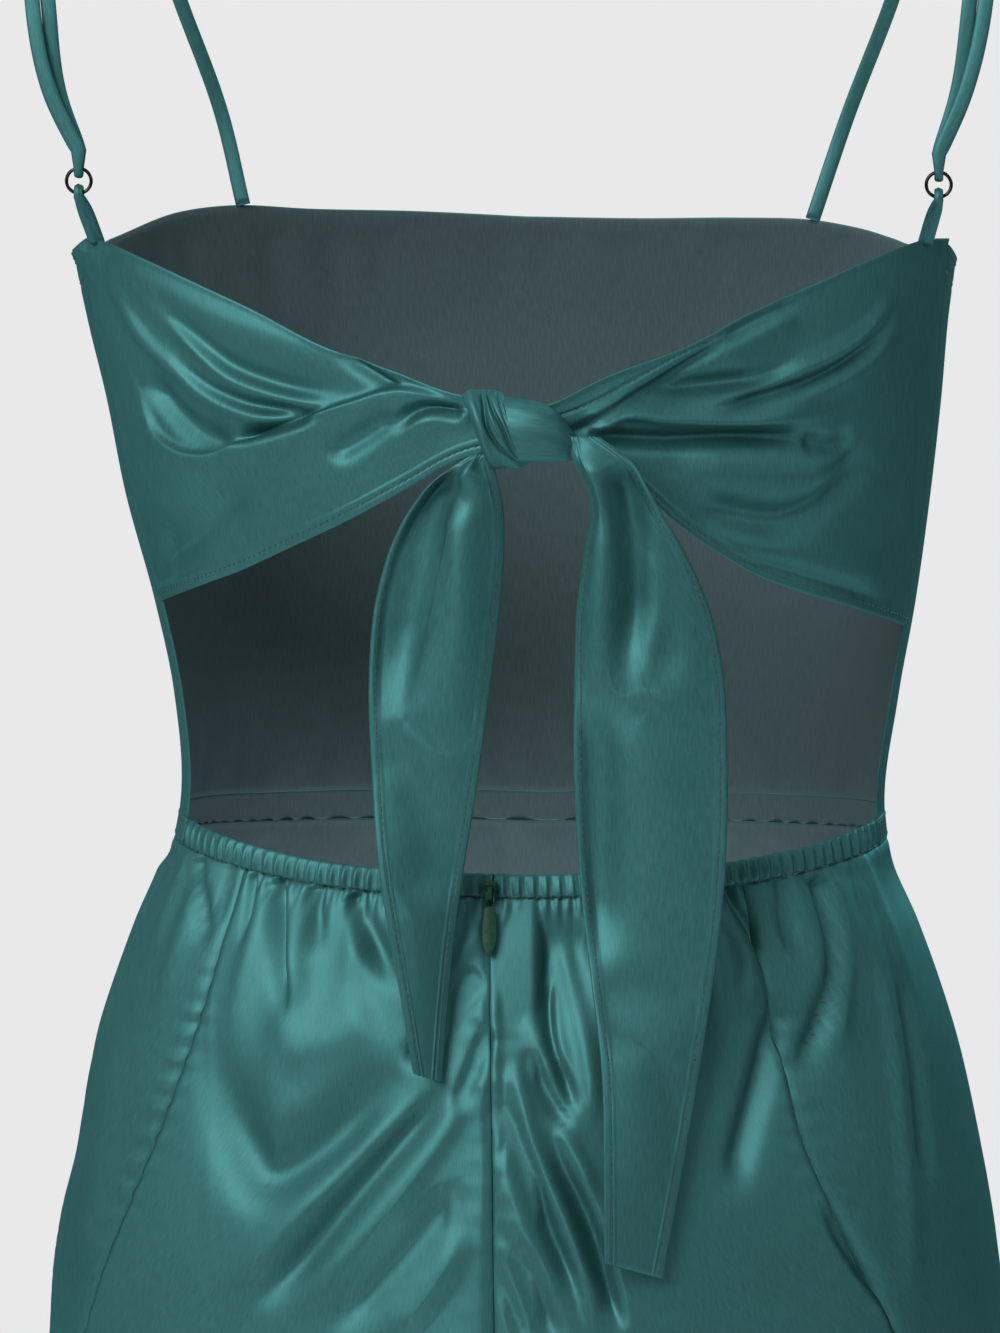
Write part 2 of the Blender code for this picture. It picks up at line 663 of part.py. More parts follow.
def flat_outline(name, rings, thickness, finish):
    """A flat plate with holes, from closed outlines, lying in the XY plane about the origin."""
    curve = bpy.data.curves.new(name, "CURVE")
    curve.dimensions = "2D"
    curve.fill_mode = "BOTH"
    curve.extrude = thickness / 2 * MM
    for ring in rings:
        spline = curve.splines.new("POLY")
        spline.points.add(len(ring) - 1)
        for point, place in zip(spline.points, ring):
            point.co = (place[0] * MM, place[1] * MM, 0.0, 1.0)
        spline.use_cyclic_u = True
    guide = bpy.data.objects.new(f"{name}_outline", curve)
    DRESS.objects.link(guide)
    graph = bpy.context.evaluated_depsgraph_get()
    mesh = bpy.data.meshes.new_from_object(guide.evaluated_get(graph))
    bpy.data.objects.remove(guide, do_unlink=True)
    welded = bmesh.new()
    welded.from_mesh(mesh)
    bmesh.ops.remove_doubles(welded, verts=welded.verts, dist=0.01 * MM)
    bmesh.ops.recalc_face_normals(welded, faces=welded.faces)
    welded.to_mesh(mesh)
    welded.free()
    mesh.materials.clear()
    mesh.materials.append(material(finish))
    thing = bpy.data.objects.new(name, mesh)
    DRESS.objects.link(thing)
    return thing


def add_block(name, size, place, finish):
    """A box of a size in millimetres about a place."""
    bpy.ops.mesh.primitive_cube_add(size=1.0)
    block = bpy.context.object
    block.name = name
    for vertex in block.data.vertices:
        for axis in range(3):
            vertex.co[axis] *= size[axis] * MM
    block.location = [value * MM for value in place]
    for collection in list(block.users_collection):
        collection.objects.unlink(block)
    DRESS.objects.link(block)
    block.data.materials.append(material(finish))
    return block


def make_cutter(thing):
    """Puts an object among the cutters, out of the dress."""
    thing.hide_render = True
    thing.display_type = "WIRE"
    DRESS.objects.unlink(thing)
    CUTTERS.objects.link(thing)


def add_boolean(thing, other, operation):
    """Joins or cuts an object with another one, which becomes a cutter."""
    make_cutter(other)
    modifier = thing.modifiers.new(other.name, "BOOLEAN")
    modifier.operation = operation
    modifier.object = other


def build_zip_slider():
    """The slider: a small block with a bridge that the pull tab's bar lies under."""
    hinge = zip_hinge()
    body_depth = 1.8
    bridge = (1.6, 3.4, 5.0)
    opening = (4.0, 1.9, 2.6)
    body_place = hinge + [0.0, -1.3 - body_depth / 2, 0.0]
    body = add_block("zip_slider", (4.8, body_depth, 7.6), body_place, ENAMEL)
    bevel = body.modifiers.new("soft edges", "BEVEL")
    bevel.width = 0.4 * MM
    bevel.segments = 1
    arch = add_block("slider_bridge", bridge, hinge + [0.0, 0.1, 0.0], ENAMEL)
    add_boolean(body, arch, "UNION")
    window = add_block("slider_bridge_window", opening, hinge, ENAMEL)
    add_boolean(body, window, "DIFFERENCE")


def build_zip_pull(sides=16):
    """The pull tab: a teardrop plate whose upper bar turns under the slider's bridge."""
    bar = 0.5
    eye_end = 4.4
    outline = []
    for step in range(sides):
        turn = 2.0 * math.pi * step / sides
        drop = 0.5 - 0.5 * math.cos(turn)
        half = PULL_WIDTH / 2 * math.sin(turn) * (0.62 + 0.38 * drop)
        outline.append((half, bar - (PULL_LENGTH + bar) * drop))
    shoulders = [(-1.9, bar), (1.9, bar)]
    outline = shoulders + [place for place in outline if place[1] < -1.0]
    right_side = sorted([place for place in outline if place[0] >= 0], key=lambda place: -place[1])
    left_side = sorted([place for place in outline if place[0] < 0], key=lambda place: place[1])
    eye = [(-1.2, -0.5), (1.2, -0.5), (1.2, -eye_end), (-1.2, -eye_end)]
    pull = flat_outline("zip_pull", [right_side + left_side, eye], 1.0, ENAMEL)
    pull.location = [value * MM for value in zip_hinge()]
    pull.rotation_euler = (math.radians(90.0 + PULL_REST_DEG), 0.0, 0.0)


# ---------------------------------------------------------------------------- straps


def sweep(name, route, widths, thickness, finish, sides=8):
    """A flattened tube along a route. Its width lies level, and its ends are closed."""
    ahead = np.gradient(route, axis=0)
    ahead /= np.linalg.norm(ahead, axis=1, keepdims=True)
    level = np.array([1.0, 0.0, 0.0]) - ahead * ahead[:, :1]
    level /= np.linalg.norm(level, axis=1, keepdims=True)
    normal = np.cross(ahead, level)
    turn = np.linspace(0.0, 2.0 * math.pi, sides, endpoint=False) + math.pi / sides
    corners = np.cos(turn)[None, :, None] * level[:, None, :] * widths[:, None, None] / 2
    corners = corners + np.sin(turn)[None, :, None] * normal[:, None, :] * thickness / 2
    add_loft(name, route[:, None, :] + corners, finish)


def along(points, spacing):
    """Points read off a smooth curve through the given ones, about a spacing apart."""
    points = np.asarray(points, float)
    gaps = np.linalg.norm(np.diff(points, axis=0), axis=1)
    travel = np.concatenate([[0.0], np.cumsum(gaps)])
    count = max(2, round(travel[-1] / spacing)) + 1
    at = np.linspace(0.0, travel[-1], count)
    return np.stack([smooth(travel, points[:, axis], at) for axis in range(3)], axis=-1)


def half_turn(centre, radius, start_deg, steps=7):
    """A half circle in the YZ plane about a point, from one leg of a loop to the other."""
    turn = np.radians(np.linspace(start_deg, start_deg - 180.0, steps))
    y = centre[1] + radius * np.cos(turn)
    z = centre[2] + radius * np.sin(turn)
    return np.stack([np.full(steps, centre[0]), y, z], axis=-1)


LOOP_RADIUS = RING_WIRE + 2 * GAP + STRAP_THICKNESS / 2


def build_strap(side):
    """A strap: from the neckline over the shoulder, through the ring and up to its slider."""
    ring = np.array(RING_PLACE[side])
    toward = 1.0 if side == "left" else -1.0
    foot_angle = 180.0 - toward * NECK_FOOT_ANGLE[side]
    foot_z = float(neckline(foot_angle)) + GAP
    foot = on_form(np.array([foot_angle]), np.array([foot_z]), WALL / 2)[0]
    down = [foot] + [np.array([getattr(row, side), row.y, row.z]) for row in STRAP_ROUTE]
    loop = half_turn(ring + [0.0, 0.0, RING_RADIUS], LOOP_RADIUS, 0.0)
    down.append(loop[0] + [0.0, 0.0, 6.0])
    up = [loop[-1] + [0.0, 0.0, 6.0]]
    up += [np.array([getattr(row, side), row.y, row.z]) for row in RETURN_ROUTE]
    route = np.concatenate([along(down, 11.0), loop, along(up, 11.0)])
    near_ring = bump(np.linalg.norm(route - loop[3], axis=1), 7.0)
    widths = STRAP_WIDTH + (STRAP_WIDTH_IN_RING - STRAP_WIDTH) * np.minimum(1.0, 1.4 * near_ring)
    sweep(f"strap_{side}", route, widths, STRAP_THICKNESS, SATIN)


def tab_foot(side):
    """Where the tab's two legs meet the wing's upper edge."""
    angle = TAB_ANGLE[side]
    z = column_at(WING_EDGES, "angle", "top", abs(angle)) + GAP + TAB_END_RISE
    out = column_at(WING_EDGES, "angle", "out", abs(angle)) + WALL / 2
    return on_form(np.array([angle]), np.array([z]), out)[0]


def build_tab(side):
    """The short doubled tab that joins the ring to the wing's corner."""
    ring = np.array(RING_PLACE[side])
    foot = tab_foot(side)
    loop = half_turn(ring - [0.0, 0.0, RING_RADIUS], LOOP_RADIUS, 180.0)
    leg = np.array([0.0, STRAP_THICKNESS / 2 + GAP, 0.0])
    rising = along([foot - leg, loop[0] * 0.5 + (foot - leg) * 0.5, loop[0] - [0, 0, 1.0]], 5.0)
    falling = along([loop[-1] - [0, 0, 1.0], loop[-1] * 0.5 + (foot + leg) * 0.5, foot + leg], 5.0)
    route = np.concatenate([rising, loop, falling])
    near_ring = bump(np.linalg.norm(route - loop[3], axis=1), 5.0)
    widths = STRAP_WIDTH + (STRAP_WIDTH_IN_RING - STRAP_WIDTH) * np.minimum(1.0, 1.4 * near_ring)
    sweep(f"strap_tab_{side}", route, widths, STRAP_THICKNESS, SATIN)


def build_ring(side):
    """The round wire ring that joins a strap to its tab."""
    bpy.ops.mesh.primitive_torus_add(
        major_radius=RING_RADIUS * MM,
        minor_radius=RING_WIRE * MM,
        major_segments=20,
        minor_segments=6,
        rotation=(math.radians(90.0), 0.0, 0.0),
    )
    ring = bpy.context.object
    ring.name = f"ring_{side}"
    ring.location = [value * MM for value in RING_PLACE[side]]
    for collection in list(ring.users_collection):
        collection.objects.unlink(ring)
    DRESS.objects.link(ring)
    ring.data.shade_smooth()
    ring.data.materials.append(material(GUNMETAL))


def build_strap_slider(side):
    """The slider that holds the strap's doubled end: a plate with two windows."""
    y = smooth([row.z for row in STRAP_ROUTE[:4:-1]], [row.y for row in STRAP_ROUTE[:4:-1]], SLIDER_Z)
    x = smooth(
        [row.z for row in STRAP_ROUTE[:4:-1]],
        [getattr(row, side) for row in STRAP_ROUTE[:4:-1]],
        SLIDER_Z,
    )
    clear = STRAP_THICKNESS / 2 + GAP
    width, depth, height = SLIDER_SIZE
    outer = [(-width / 2, -height / 2), (width / 2, -height / 2), (width / 2, height / 2)]
    outer.append((-width / 2, height / 2))
    rings = [outer]
    for offset in (-SLIDER_WINDOW_OFFSET, SLIDER_WINDOW_OFFSET):
        half_width = SLIDER_WINDOW[0] / 2
        low = offset - SLIDER_WINDOW[1] / 2
        high = offset + SLIDER_WINDOW[1] / 2
        rings.append([(-half_width, low), (half_width, low), (half_width, high), (-half_width, high)])
    plate = flat_outline(f"strap_slider_{side}", rings, depth, GUNMETAL)
    plate.location = (float(x) * MM, (float(y) + clear + depth / 2) * MM, SLIDER_Z * MM)
    plate.rotation_euler = (math.radians(90.0 + SLIDER_TILT_DEG), 0.0, 0.0)


def build_dress():
    """All the pieces, from the top down."""
    build_bodice_front()
    build_knot_core()
    build_knot_wrap()
    build_waistband_front()
    build_skirt()
    build_zip_tape()
    build_zip_slider()
    build_zip_pull()
    for side in SIDES:
        build_wing(side)
        build_tail(side)
        build_casing(side)
        build_strap(side)
        build_tab(side)
        build_ring(side)
        build_strap_slider(side)


build_dress()
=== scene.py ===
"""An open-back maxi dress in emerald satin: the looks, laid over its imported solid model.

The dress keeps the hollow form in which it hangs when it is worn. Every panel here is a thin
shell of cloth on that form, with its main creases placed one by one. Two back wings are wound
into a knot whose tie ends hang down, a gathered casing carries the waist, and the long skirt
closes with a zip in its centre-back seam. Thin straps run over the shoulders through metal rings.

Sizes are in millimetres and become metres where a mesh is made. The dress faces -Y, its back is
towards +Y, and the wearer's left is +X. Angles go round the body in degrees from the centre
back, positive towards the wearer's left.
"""

import logging
import math
from collections.abc import Callable, Iterable, Sequence
from dataclasses import dataclass, field
from enum import Enum
from typing import Any

import bmesh
import bpy
import numpy as np
from mathutils import Matrix, Vector


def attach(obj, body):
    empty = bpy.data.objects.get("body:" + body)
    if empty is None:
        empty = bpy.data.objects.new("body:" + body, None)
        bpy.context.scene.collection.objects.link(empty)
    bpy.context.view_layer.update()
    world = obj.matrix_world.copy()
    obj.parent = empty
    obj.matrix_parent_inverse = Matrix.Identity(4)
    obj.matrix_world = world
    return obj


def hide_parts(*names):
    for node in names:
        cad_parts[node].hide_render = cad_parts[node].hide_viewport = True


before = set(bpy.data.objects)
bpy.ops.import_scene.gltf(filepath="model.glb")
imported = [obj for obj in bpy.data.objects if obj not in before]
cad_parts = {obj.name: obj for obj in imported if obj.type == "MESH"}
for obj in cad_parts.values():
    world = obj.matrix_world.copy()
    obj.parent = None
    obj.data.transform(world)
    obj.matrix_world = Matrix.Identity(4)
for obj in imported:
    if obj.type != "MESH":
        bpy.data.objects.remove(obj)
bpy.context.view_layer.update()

LOG = logging.getLogger("maxi_dress")
MM = 0.001


class Body(Enum):
    """The two bodies of the dress."""

    DRESS = "dress"
    PULL = "pull_tab"


class Side(Enum):
    """The wearer's two sides."""

    LEFT = "left"
    RIGHT = "right"

    @property
    def sign(self) -> float:
        """1 towards the wearer's left, -1 towards the right."""
        return 1.0 if self is Side.LEFT else -1.0


# ---------------------------------------------------------------------------- curves and tables


def smooth(places: Sequence[float], values: Sequence[float], at: Any) -> np.ndarray:
    """A cubic through the rows of a table, each row's slope taken from its neighbours.

    Args:
        places: the key column, rising.
        values: the column that is read.
        at: where to read it.

    Returns:
        The values there, held level past the first and last row.
    """
    places = np.asarray(places, float)
    values = np.asarray(values, float)
    at = np.clip(at, places[0], places[-1])
    slopes = np.gradient(values, places)
    low = np.clip(np.searchsorted(places, at, side="right") - 1, 0, len(places) - 2)
    step = places[low + 1] - places[low]
    part = (at - places[low]) / step
    start = (1 + 2 * part) * (1 - part) ** 2 * values[low]
    start = start + part * (1 - part) ** 2 * step * slopes[low]
    end = part**2 * (3 - 2 * part) * values[low + 1]
    end = end + part**2 * (part - 1) * step * slopes[low + 1]
    return start + end


def column_at(table: Sequence[Any], key: str, column: str, at: Any) -> np.ndarray:
    """Reads one named column of a table of rows at a value of its key column."""
    return smooth([getattr(row, key) for row in table], [getattr(row, column) for row in table], at)


def bump(distance: Any, width: Any) -> np.ndarray:
    """A rounded ridge, 1 at its middle."""
    return np.exp(-((distance / width) ** 2))


def rise(value: Any, start: float, end: float) -> np.ndarray:
    """0 at start and before it, 1 at end and after it, smooth between."""
    part = np.clip((value - start) / (end - start), 0.0, 1.0)
    return part * part * (3 - 2 * part)


def away(angle: Any, other: float) -> Any:
    """The turn between two angles round the body, between -180 and 180 degrees."""
    return (angle - other + 180.0) % 360.0 - 180.0


def unit(vectors: np.ndarray) -> np.ndarray:
    """The vectors of the last axis, at length 1."""
    return vectors / np.maximum(np.linalg.norm(vectors, axis=-1, keepdims=True), 1e-9)


def travel_of(points: np.ndarray) -> np.ndarray:
    """How far along a line of points each of them lies."""
    return np.concatenate([[0.0], np.cumsum(np.linalg.norm(np.diff(points, axis=0), axis=1))])


def through(points: Sequence[Sequence[float]], spacing: float) -> np.ndarray:
    """Points read off a smooth curve through the given ones, about a spacing apart."""
    points = np.asarray(points, float)
    travel = travel_of(points)
    at = np.linspace(0.0, travel[-1], max(2, round(travel[-1] / spacing)) + 1)
    columns = [smooth(travel, points[:, axis], at) for axis in range(points.shape[1])]
    return np.stack(columns, axis=-1)


# ---------------------------------------------------------------------------- the hollow form


@dataclass(frozen=True)
class Section:
    """One level of the hollow form: its height, its middle and its reach to three sides."""

    z: float
    centre: float
    half_width: float
    front: float
    back: float


@dataclass(frozen=True)
class Waist:
    """The casing's upper edge and height, at an angle away from the centre back."""

    angle: float
    top: float
    height: float


@dataclass(frozen=True)
class Form:
    """The hollow form that the dress keeps, as its solids have it."""

    sections: tuple[Section, ...] = (
        Section(-1400.0, 0.0, 268.0, 205.0, 217.0),
        Section(-1150.0, 0.0, 242.0, 176.0, 186.0),
        Section(-900.0, 0.0, 214.0, 146.0, 155.0),
        Section(-640.0, 0.0, 182.0, 113.0, 124.0),
        Section(-545.0, 0.0, 167.5, 105.0, 117.0),
        Section(-480.0, 0.0, 157.0, 102.0, 111.0),
        Section(-434.0, 0.0, 146.4, 98.0, 101.0),
        Section(-400.0, 0.0, 134.5, 93.0, 91.0),
        Section(-376.0, 0.0, 124.5, 86.0, 81.0),
        Section(-362.0, -0.5, 121.8, 84.0, 79.0),
        Section(-320.0, -2.0, 124.6, 88.0, 81.0),
        Section(-287.0, -1.5, 130.8, 94.0, 86.0),
        Section(-250.0, 1.0, 138.2, 102.0, 90.0),
        Section(-215.0, 2.6, 143.5, 106.0, 90.0),
        Section(-190.0, 4.6, 147.5, 104.0, 88.0),
        Section(-165.0, 5.6, 151.3, 96.0, 84.0),
        Section(-140.0, 6.0, 152.0, 84.0, 78.0),
    )
    waist: tuple[Waist, ...] = (
        Waist(0.0, -373.0, 7.8),
        Waist(30.0, -371.0, 7.8),
        Waist(45.0, -368.0, 8.0),
        Waist(60.0, -364.5, 8.4),
        Waist(75.0, -361.5, 9.0),
        Waist(90.0, -359.5, 9.5),
        Waist(135.0, -361.5, 10.2),
        Waist(180.0, -364.0, 10.6),
    )
    cup_x: float = 68.0
    cup_z: float = -212.0
    cup_height: float = 9.0
    cup_width: float = 44.0
    cup_drop: float = 36.0

    def cups(self, x: np.ndarray, z: np.ndarray) -> np.ndarray:
        """The front's fullness over the bust, at a place to the side of the form's middle."""
        both = bump(x - self.cup_x, self.cup_width) + bump(x + self.cup_x, self.cup_width)
        return self.cup_height * both * bump(z - self.cup_z, self.cup_drop)

    def point(self, angle: Any, z: Any, out: Any) -> np.ndarray:
        """Places on the form.

        Args:
            angle: degrees round the body from the centre back.
            z: height in millimetres.
            out: how far outside the form, level.

        Returns:
            The points in millimetres, on a last axis of three.
        """
        turn = np.radians(angle)
        centre = column_at(self.sections, "z", "centre", z)
        width = column_at(self.sections, "z", "half_width", z)
        front = column_at(self.sections, "z", "front", z)
        back = column_at(self.sections, "z", "back", z)
        x = centre + (width + out) * np.sin(turn)
        y = (np.where(np.cos(turn) > 0, back, front) + out) * np.cos(turn)
        y = y - self.cups(x - centre, z) * rise(-np.cos(turn), 0.0, 0.6)
        return np.stack([x, y, z + 0 * x], axis=-1)

    def along(self, angle: Any, z: float) -> np.ndarray:
        """How far round the form an angle lies from the centre back at a height, in millimetres."""
        marks = np.arange(-360.0, 721.0, 1.0)
        ring = self.point(marks, np.full(marks.shape, z), 0.0)
        travel = travel_of(ring)
        travel -= np.interp(0.0, marks, travel)
        return np.interp(angle, marks, travel)

    def waist_top(self, angle: Any) -> np.ndarray:
        """The height of the seam over the casing."""
        return column_at(self.waist, "angle", "top", np.abs(away(angle, 0.0)))

    def waist_bottom(self, angle: Any) -> np.ndarray:
        """The height of the seam between the casing and the skirt."""
        height = column_at(self.waist, "angle", "height", np.abs(away(angle, 0.0)))
        return self.waist_top(angle) - height


FORM = Form()
WALL = 1.4  # of the solids: the cloth's right side lies where their outer face is
GAP = 0.3
CLOTH = 0.5  # satin and its pressed hems, as drawn
TROUGH_DEPTH = 1.7  # how much deeper the troughs are drawn than their rows say
TROUGH_SPREAD = 1.12  # and how much broader
RIDGE_SPREAD = 1.25
PATH_STEP = 3.0  # between the points that a crease is measured from
PATH_STEPS = 30.0  # the most of them that a tall crease has
SIDE_SEAM = {Side.LEFT: 74.0, Side.RIGHT: -78.0}
HEM_Z = -1360.0


# ---------------------------------------------------------------------------- creases


@dataclass(frozen=True)
class Crease:
    """A soft ridge, or a trough where its height is negative, along a path on the cloth.

    The path's points are an angle on the form, or a place across a tie end, and a height. above
    and below say how far the crease spreads over and under its line, or to the wearer's left and
    right of it where it runs steeply. lean moves its crest towards the lower side, so that it
    hangs over. start and end are the shares of its length in which it grows and dies away.
    """

    path: tuple[tuple[float, float], ...]
    height: float
    above: float
    below: float
    lean: float = 0.0
    start: float = 0.25
    end: float = 0.25


@dataclass
class Lift:
    """What a set of creases does to each point: how far it moves out, along and up."""

    out: np.ndarray
    along: np.ndarray
    up: np.ndarray


def nearest_on(path: np.ndarray, along: np.ndarray, up: np.ndarray) -> tuple[np.ndarray, ...]:
    """The nearest place of a path to each point.

    Args:
        path: the path's points, in millimetres on the flat cloth.
        along: the points' first coordinate.
        up: the points' second coordinate.

    Returns:
        Each point's signed distance, its share of the path, and the path's normal there. The
        normal points up, or to the wearer's left on a path that runs steeply.
    """
    steps = np.diff(path, axis=0)
    lengths = np.linalg.norm(steps, axis=1)
    travel = np.concatenate([[0.0], np.cumsum(lengths)])
    whole = path[-1] - path[0]
    flip = whole[0] if abs(whole[0]) > abs(whole[1]) else -whole[1]
    turned = 1.0 if flip > 0 else -1.0
    best = np.full(along.shape, 1e18)
    signed = np.zeros(along.shape)
    share = np.zeros(along.shape)
    normal_along = np.zeros(along.shape)
    normal_up = np.zeros(along.shape)
    for index, step in enumerate(steps):
        aside = along - path[index, 0]
        over = up - path[index, 1]
        part = np.clip((aside * step[0] + over * step[1]) / lengths[index] ** 2, 0.0, 1.0)
        gap_along = aside - part * step[0]
        gap_up = over - part * step[1]
        distance = gap_along**2 + gap_up**2
        closer = distance < best
        normal = np.array([-step[1], step[0]]) / lengths[index] * turned
        sign = np.where(gap_along * normal[0] + gap_up * normal[1] < 0, -1.0, 1.0)
        best = np.where(closer, distance, best)
        signed = np.where(closer, sign * np.sqrt(distance), signed)
        share = np.where(closer, (travel[index] + part * lengths[index]) / travel[-1], share)
        normal_along = np.where(closer, normal[0], normal_along)
        normal_up = np.where(closer, normal[1], normal_up)
    return signed, share, normal_along, normal_up


def crease(
    creases: Iterable[Crease],
    along: np.ndarray,
    up: np.ndarray,
    scale: Callable[[np.ndarray], np.ndarray],
) -> Lift:
    """Adds up the creases of a cloth.

    Args:
        creases: the cloth's creases.
        along: each point's first coordinate, in millimetres on the flat cloth.
        up: each point's height.
        scale: turns the first coordinate of a path's points to millimetres.

    Returns:
        What the creases do to each point.
    """
    lift = Lift(np.zeros(along.shape), np.zeros(along.shape), np.zeros(along.shape))
    for one in creases:
        raw = np.asarray(one.path, float)
        reach = abs(raw[-1, 1] - raw[0, 1])
        path = np.stack([scale(raw[:, 0]), raw[:, 1]], axis=-1)
        path = through(path, max(PATH_STEP, reach / PATH_STEPS))
        signed, share, normal_along, normal_up = nearest_on(path, along, up)
        trough = one.height < 0
        spread = TROUGH_SPREAD if trough else RIDGE_SPREAD
        spread = spread * np.where(signed > 0, one.above, one.below)
        grown = rise(share, 0.0, max(one.start, 1e-3)) * rise(1.0 - share, 0.0, max(one.end, 1e-3))
        shape = bump(signed, spread) * grown
        lift.out += (TROUGH_DEPTH if trough else 1.0) * one.height * shape
        lift.along -= one.lean * shape * normal_along
        lift.up -= one.lean * shape * normal_up
    return lift


# ---------------------------------------------------------------------------- finishes


def linear(hex_colour: str) -> tuple[float, float, float, float]:
    """Turns an sRGB hex colour to the linear values that the shaders read."""
    channels = [int(hex_colour[place : place + 2], 16) / 255.0 for place in (1, 3, 5)]
    values = [c / 12.92 if c <= 0.04045 else ((c + 0.055) / 1.055) ** 2.4 for c in channels]
    return values[0], values[1], values[2], 1.0


def add_node(
    tree: bpy.types.NodeTree, kind: str, settings: dict[Any, Any], links: dict[Any, Any]
) -> bpy.types.Node:
    """Adds a node to a tree.

    Args:
        tree: the node tree.
        kind: the node's type name.
        settings: values of its inputs, by name or place, or of its own properties, by name.
            Under stops are the places and hex colours of a ramp's two ends.
        links: the output socket that feeds each of its inputs, by name or place.

    Returns:
        The node.
    """
    node = tree.nodes.new(kind)
    for name, value in settings.items():
        if isinstance(name, int):
            node.inputs[name].default_value = value
        elif name == "stops":
            for stop, (position, colour) in zip(node.color_ramp.elements, value):
                stop.position = position
                stop.color = linear(colour)
        elif hasattr(node, name) and name not in node.inputs:
            setattr(node, name, value)
        else:
            node.inputs[name].default_value = value
    for name, source in links.items():
        tree.links.new(source, node.inputs[name])
    return node


def new_material(name: str) -> tuple[bpy.types.Material, bpy.types.NodeTree, bpy.types.Node]:
    """An empty node material with its Principled shader."""
    made = bpy.data.materials.new(name)
    made.use_nodes = True
    return made, made.node_tree, made.node_tree.nodes["Principled BSDF"]


def set_shader(shader: bpy.types.Node, values: dict[str, Any]) -> None:
    """Sets values on a shader's own sockets."""
    for name, value in values.items():
        shader.inputs[name].default_value = value


@dataclass(frozen=True)
class Satin:
    """Polyester satin, woven with long floats.

    The floats on its right side lie along one thread, so they give a soft, wide and coloured
    gloss that runs off quickly on a slope. Its wrong side shows the matt weft.
    """

    name: str
    deep: str
    light: str
    roughness: float
    metallic: float
    sheen: float
    slub_mm: float = 0.55  # drawn several times as coarse as the threads, which would not show
    slub_length_mm: float = 5.0
    slub_relief_mm: float = 0.035
    shade_mm: float = 1000.0 / 22.0  # patches of slightly paler and deeper dye
    crumple_mm: float = 1000.0 / 55.0  # soft dents left by handling
    crumple_relief_mm: float = 0.8
    gloss_spread: float = 0.035

    def make(self) -> bpy.types.Material:
        """Builds the material. Its threads follow the piece's own UV map, in metres of cloth."""
        made, tree, shader = new_material(self.name)
        set_shader(
            shader,
            {
                "Metallic": self.metallic,
                "IOR": 1.5,
                "Anisotropic": 0.35,
                "Sheen Weight": self.sheen,
                "Sheen Roughness": 0.45,
                "Sheen Tint": linear(self.light),
                "Specular Tint": linear(self.light),
            },
        )
        place = add_node(tree, "ShaderNodeUVMap", {"uv_map": "cloth"}, {})
        stretch = 1.0 / (self.slub_mm * MM)
        threads = add_node(
            tree, "ShaderNodeMapping",
            {"Scale": (stretch, stretch * self.slub_mm / self.slub_length_mm, 1.0)},
            {"Vector": place.outputs["UV"]},
        )
        slubs = add_node(
            tree, "ShaderNodeTexNoise", {"Scale": 1.0, "Detail": 2.0, "Roughness": 0.6},
            {"Vector": threads.outputs["Vector"]},
        )
        here = add_node(tree, "ShaderNodeTexCoord", {}, {})
        drift = add_node(
            tree, "ShaderNodeTexNoise",
            {"Scale": 1.0 / (self.shade_mm * MM), "Detail": 3.0, "Roughness": 0.5},
            {"Vector": here.outputs["Object"]},
        )
        crumple = add_node(
            tree, "ShaderNodeTexNoise",
            {"Scale": 1.0 / (self.crumple_mm * MM), "Detail": 2.0, "Roughness": 0.4},
            {"Vector": here.outputs["Object"]},
        )
        share = add_node(
            tree, "ShaderNodeMix", {"data_type": "FLOAT", "Factor": 0.8},
            {2: drift.outputs["Fac"], 3: slubs.outputs["Fac"]},
        )
        stops = ((0.25, self.deep), (0.75, self.light))
        colour = add_node(tree, "ShaderNodeValToRGB", {"stops": stops}, {"Fac": share.outputs[0]})
        gloss = add_node(
            tree, "ShaderNodeMapRange",
            {"To Min": self.roughness - self.gloss_spread, "To Max": self.roughness + self.gloss_spread},
            {"Value": slubs.outputs["Fac"]},
        )
        relief = add_node(
            tree, "ShaderNodeBump", {"Strength": 0.35, "Distance": self.slub_relief_mm * MM},
            {"Height": slubs.outputs["Fac"]},
        )
        soft = add_node(
            tree, "ShaderNodeBump", {"Strength": 0.25, "Distance": self.crumple_relief_mm * MM},
            {"Height": crumple.outputs["Fac"], "Normal": relief.outputs["Normal"]},
        )
        tree.links.new(colour.outputs["Color"], shader.inputs["Base Color"])
        tree.links.new(gloss.outputs["Result"], shader.inputs["Roughness"])
        tree.links.new(soft.outputs["Normal"], shader.inputs["Normal"])
        return made


@dataclass(frozen=True)
class Yarn:
    """Sewing thread, woven tape or moulded nylon: one colour with a fine grain."""

    name: str
    deep: str
    light: str
    roughness: float
    grain_mm: float
    bump_mm: float

    def make(self) -> bpy.types.Material:
        """Builds the material, with its grain in the object's own space."""
        made, tree, shader = new_material(self.name)
        set_shader(shader, {"IOR": 1.5, "Roughness": self.roughness, "Sheen Weight": 0.2})
        here = add_node(tree, "ShaderNodeTexCoord", {}, {})
        grain = add_node(
            tree, "ShaderNodeTexNoise", {"Scale": 1.0 / (self.grain_mm * MM), "Detail": 2.0},
            {"Vector": here.outputs["Object"]},
        )
        stops = ((0.35, self.deep), (0.65, self.light))
        colour = add_node(tree, "ShaderNodeValToRGB", {"stops": stops}, {"Fac": grain.outputs["Fac"]})
        relief = add_node(
            tree, "ShaderNodeBump", {"Strength": 0.5, "Distance": self.bump_mm * MM},
            {"Height": grain.outputs["Fac"]},
        )
        tree.links.new(colour.outputs["Color"], shader.inputs["Base Color"])
        tree.links.new(relief.outputs["Normal"], shader.inputs["Normal"])
        return made


